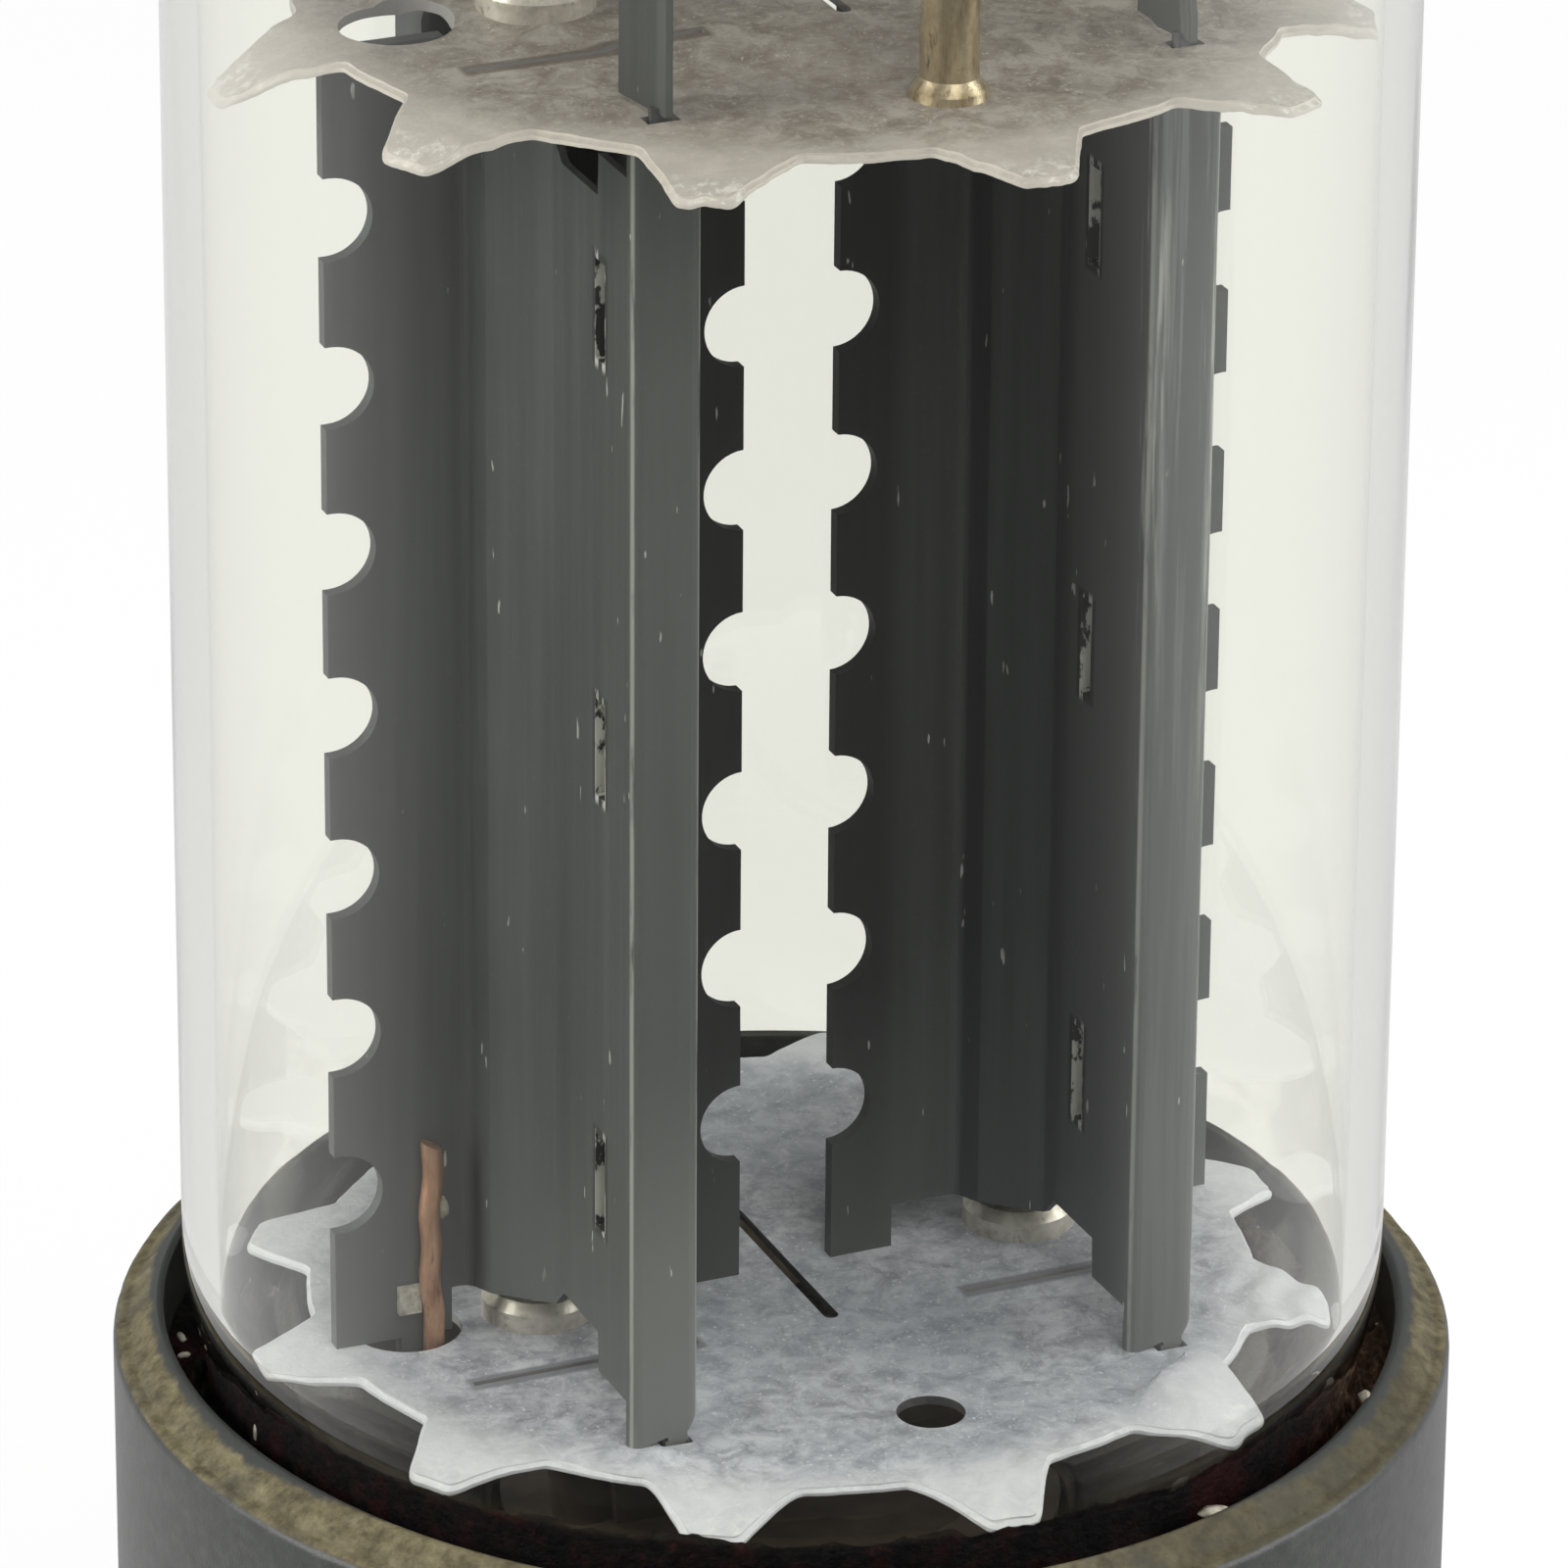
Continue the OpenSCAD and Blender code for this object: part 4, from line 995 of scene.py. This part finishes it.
def lower_sag(r, deg):
    turn = math.radians(deg)
    amount = 0.28 - 0.12 * math.sin(turn) + 0.08 * math.cos(turn) - 0.02 * math.sin(turn * 7)
    z = bend(r, 12.4, LOWER_TIP, amount)
    # the crumpled tooth at the front right, its wrinkled neighbour, and the lip at the fin's foot
    if r > 11.3:
        rise = clamp((r - 11.6) / 0.25)
        side = min(1.0, 3.2 * tooth(deg, -56.5, 7.5))
        z += (0.56 - 0.12 * (r - 12)) * side * rise * rise * (3 - 2 * rise)
        z += 0.09 * tooth(deg, -30, 13) * math.sin((r - 11.3) * 5 + 2 * math.sin(turn * 20))
    x, y = polar(r, turn)
    return z + 0.26 * math.exp(-((x + 6.95) / 0.4) ** 2 - ((y + 8.75) / 0.28) ** 2)


# teeth of the upper mica that hang lower or higher: direction in degrees, and how much
DROOP = ((178.7, 0.75), (-151.3, 0.08), (-91.3, -0.2), (-61.3, -0.2), (-31.3, -0.05))


def upper_sag(r, deg):
    turn = math.radians(deg)
    amount = 0.3 + 0.2 * abs(math.cos(turn)) + 0.06 * math.sin(turn * 7)
    z = bend(r, 12.5, UPPER_TIP, amount)
    for middle, extra in DROOP:
        z += bend(r, 11.6, UPPER_TIP, extra * tooth(deg, middle, 15))
    if r > 12:
        crumple = fractal(Vector((*polar(r, turn), 4)) * 1.5, 3)
        z += 0.07 * min(1.0, (r - 12) / 1.2) * crumple
    return z


make_mica("mica_lower", "lower_mica", LOWER_MICA, LOWER_Z, LOWER_TIP, 0, 0.45,
          lower_sag, 3, {})
make_mica("mica_upper", "upper_mica", UPPER_MICA, UPPER_TOP, UPPER_TIP, -1.3, 0,
          upper_sag, 11, {270: 2.2, 300: 3.3})


# ---------------------------------------------------------------- anode leads
def make_leads():
    """The copper leads with their kinks and slanted ends, cut finer so that they can bend."""
    cuts, low = 26, LOWER_Z + 0.2
    for side, node in ((-1, "left_anode_lead"), (1, "right_anode_lead")):
        source = NODES[node]
        mesh = bmesh.new()
        mesh.from_mesh(source.data)
        mesh.transform(source.matrix_world)
        mesh.transform(Matrix.Scale(1 / MM, 4))
        top = max(v.co.z for v in mesh.verts)
        for k in range(cuts):
            z = low + (top - 0.05 - low) * k / (cuts - 1)
            bmesh.ops.bisect_plane(mesh, geom=mesh.verts[:] + mesh.edges[:] + mesh.faces[:],
                                   plane_co=(0, 0, z), plane_no=(0, 0, 1))
        for v in mesh.verts:
            if v.co.z > low:
                t = (v.co.z - low) / (top - low)
                sway = -0.1 * math.sin(math.pi * min(1.0, t * 1.1)) + 0.045 * math.sin(t * 17)
                sway = min(1.0, t / 0.15) * (sway - 0.02 * t)
                v.co.x += sway * 0.9 * -side
                v.co.y += sway * 0.35
                v.co.z += 0.34 * t
                if t > 0.99:
                    v.co.z += 0.5 * (v.co.x - side * LEAD_X) * side
        verts = [tuple(v.co) for v in mesh.verts]
        mesh.verts.index_update()
        faces = [tuple(v.index for v in f.verts) for f in mesh.faces]
        mesh.free()
        name = node.replace("anode_lead", "copper_lead")
        lead = piece(name, verts, faces, [COPPER], [node])
        lead.data.set_sharp_from_angle(angle=SHARP)


make_leads()


# ---------------------------------------------------------------- crumbs
# direction in degrees, radius, height above the rim, size and seed
CRUMBS = ((156, 15.85, -0.95, (0.1, 0.24, 0.09), 1), (160, 15.75, -0.9, (0.18, 0.09, 0.08), 7),
          (-70.5, 16.12, 0.5, (0.4, 0.2, 0.14), 2), (-43.3, 16.1, 0.4, (0.2, 0.3, 0.2), 3),
          (-174, 15.5, 0.35, (0.05, 0.1, 0.42), 4), (-177.5, 15.45, 0.5, (0.05, 0.06, 0.4), 5),
          (-149.2, 15.6, -0.1, (0.1, 0.1, 0.14), 6))
SMALL_CRUMBS = 46


def make_crumbs():
    """Pale crumbs of cement on the rim and the glass, and the beads on the copper leads."""
    verts, faces = [], []

    def crumb(place, size, seed):
        start, rings, seg = len(verts), 6, 10
        for i in range(rings + 1):
            for b in angles(seg):
                flat, high = math.sin(math.pi * i / rings), math.cos(math.pi * i / rings)
                d = Vector((flat * math.cos(b), flat * math.sin(b), high))
                r = 1 + 0.35 * noise.noise(d * 1.6 + Vector((seed, 0, 0)))
                verts.append(tuple(Vector(place) + Vector([p * q for p, q in zip(d, size)]) * r))
        for i in range(rings):
            p = start + i * seg
            faces.extend(strip(range(p, p + seg), range(p + seg, p + 2 * seg)))

    def around(deg, r, z, size, seed):
        crumb((*polar(r, math.radians(deg)), RIM_Z + z), size, seed)

    for spot in CRUMBS:
        around(*spot)
    rng = random.Random(SEED)
    for k in range(SMALL_CRUMBS):
        deg = rng.uniform(-180, 180)
        size = rng.uniform(0.03, 0.08)
        r, z = rng.uniform(15.3, 16.1), -1.22 + rng.uniform(-0.05, 0.1)
        around(deg, r, z, (size, size, size * 0.8), 10 + k)
    for side in (-1, 1):
        crumb((side * LEAD_X + 0.37, -0.14, LOWER_Z + 3.55), (0.17, 0.15, 0.36), 70 + side)
    piece("crumbs", verts, faces, [PALE])


make_crumbs()


# ---------------------------------------------------------------- carried-over solids
LOOKS = ((ANODE, "anode_front", "anode_rear"), (PIN, "pin_"), (EYELET, "eyelet"),
         (NICKEL, "left_cathode", "right_cathode"), (CERAMIC, "left_heater", "right_heater"),
         (WIRE, "heater_lead", "cathode_lead", "heater_link", "cathode_strap", "getter_arm"),
         (BEAD, "weld_tab"), (BRASS, "getter_post"), (STEEL, "getter_ring"),
         (STEM_GLASS, "glass_stem"))
for node in NODES:
    for material, *parts in LOOKS:
        if any(part in node for part in parts):
            dress(node, material)


# ---------------------------------------------------------------- set and light
FLOOR_SIZE, FLOOR_Z = 3, -0.03
FLOOR_COLOUR, WHITE = (0.86, 0.86, 0.86, 1), (1, 1, 1, 1)
TO_CAMERA = (-0.4, -0.917, 0)
# strength of the floor as the camera sees it, through the glass, and in mirrors
FLOOR_SEEN, FLOOR_GLAZED, FLOOR_GLOW, FLOOR_MIRRORED = 0.8, 0.97, 1.05, (0.8, 0.08)
# colour and strength for what lights the part, what metal mirrors and what is seen
SKY = (((0.98, 0.99, 1.0, 1), 0.38), ((0.97, 0.98, 1, 1), 0.4), (WHITE, 1.02))
MIDDLE = (0, 0, 0.045)
BOX_SIZE = 0.3
LAMPS = (("left_box", (-0.463, 0.082, 0.216), 1.75, (1, 0.99, 0.97)),
         ("right_box", (0.426, -0.199, 0.216), 1.3, (1, 1, 1)),
         ("top_box", (0, -0.32, 0.428), 1.0, (1, 1, 1)))


def through_glass(t, path):
    """Rays that went through glass and met no reflection."""
    straight = t.math("LESS_THAN", path["Glossy Depth"], 0.5)
    return t.times(path["Is Transmission Ray"], straight)


def make_stage():
    bpy.ops.mesh.primitive_plane_add(size=FLOOR_SIZE, location=(0, 0, FLOOR_Z * MM))
    floor = bpy.context.active_object
    floor.name = "floor"
    m = bpy.data.materials.new("floor")
    m.use_nodes = True
    t = Net(m.node_tree, "ShaderNodeOutputMaterial")
    path = t.new("ShaderNodeLightPath").outputs
    lit = t.new("ShaderNodeBsdfDiffuse", Color=FLOOR_COLOUR).outputs[0]
    clear = through_glass(t, path)
    mirrored = t.minus(path["Is Glossy Ray"], clear)
    # bright at the sides and the back, and dim in front, for what glass and metal mirror
    unit = t.vector_math("NORMALIZE", t.new("ShaderNodeTexCoord").outputs["Object"])[0]
    front = t.vector_math("DOT_PRODUCT", unit, TO_CAMERA)["Value"]
    level = t.new("ShaderNodeMix")
    fade = t.span(front, -0.1, 0.75, *FLOOR_MIRRORED)
    for k, value in ((0, mirrored), (2, FLOOR_GLOW), (3, fade)):
        t.put(level.inputs[k], value)
    glow = t.new("ShaderNodeEmission", Color=WHITE, Strength=level.outputs[0]).outputs[0]
    share = t.most(t.times(path["Is Camera Ray"], FLOOR_SEEN), t.times(clear, FLOOR_GLAZED))
    t.show(t.blend(t.most(share, mirrored), lit, glow))
    floor.data.materials.append(m)


def make_world():
    world = bpy.data.worlds.new("world")
    bpy.context.scene.world = world
    world.use_nodes = True
    t = Net(world.node_tree, "ShaderNodeOutputWorld")
    path = t.new("ShaderNodeLightPath").outputs
    plain, mirror, white = (t.new("ShaderNodeBackground", Color=c, Strength=s).outputs[0]
                            for c, s in SKY)
    seen = t.most(path["Is Camera Ray"], through_glass(t, path))
    t.show(t.blend(seen, t.blend(path["Is Glossy Ray"], plain, mirror), white))


def area(name, place, power, colour):
    data = bpy.data.lights.new(name, "AREA")
    data.shape = "RECTANGLE"
    data.size, data.size_y, data.energy, data.color = BOX_SIZE, BOX_SIZE, power, colour
    lamp = link(name, data)
    lamp.location = place
    aim = Vector(MIDDLE) - Vector(place)
    lamp.rotation_euler = aim.to_track_quat("-Z", "Y").to_euler()


make_stage()
make_world()
for lamp in LAMPS:
    area(*lamp)
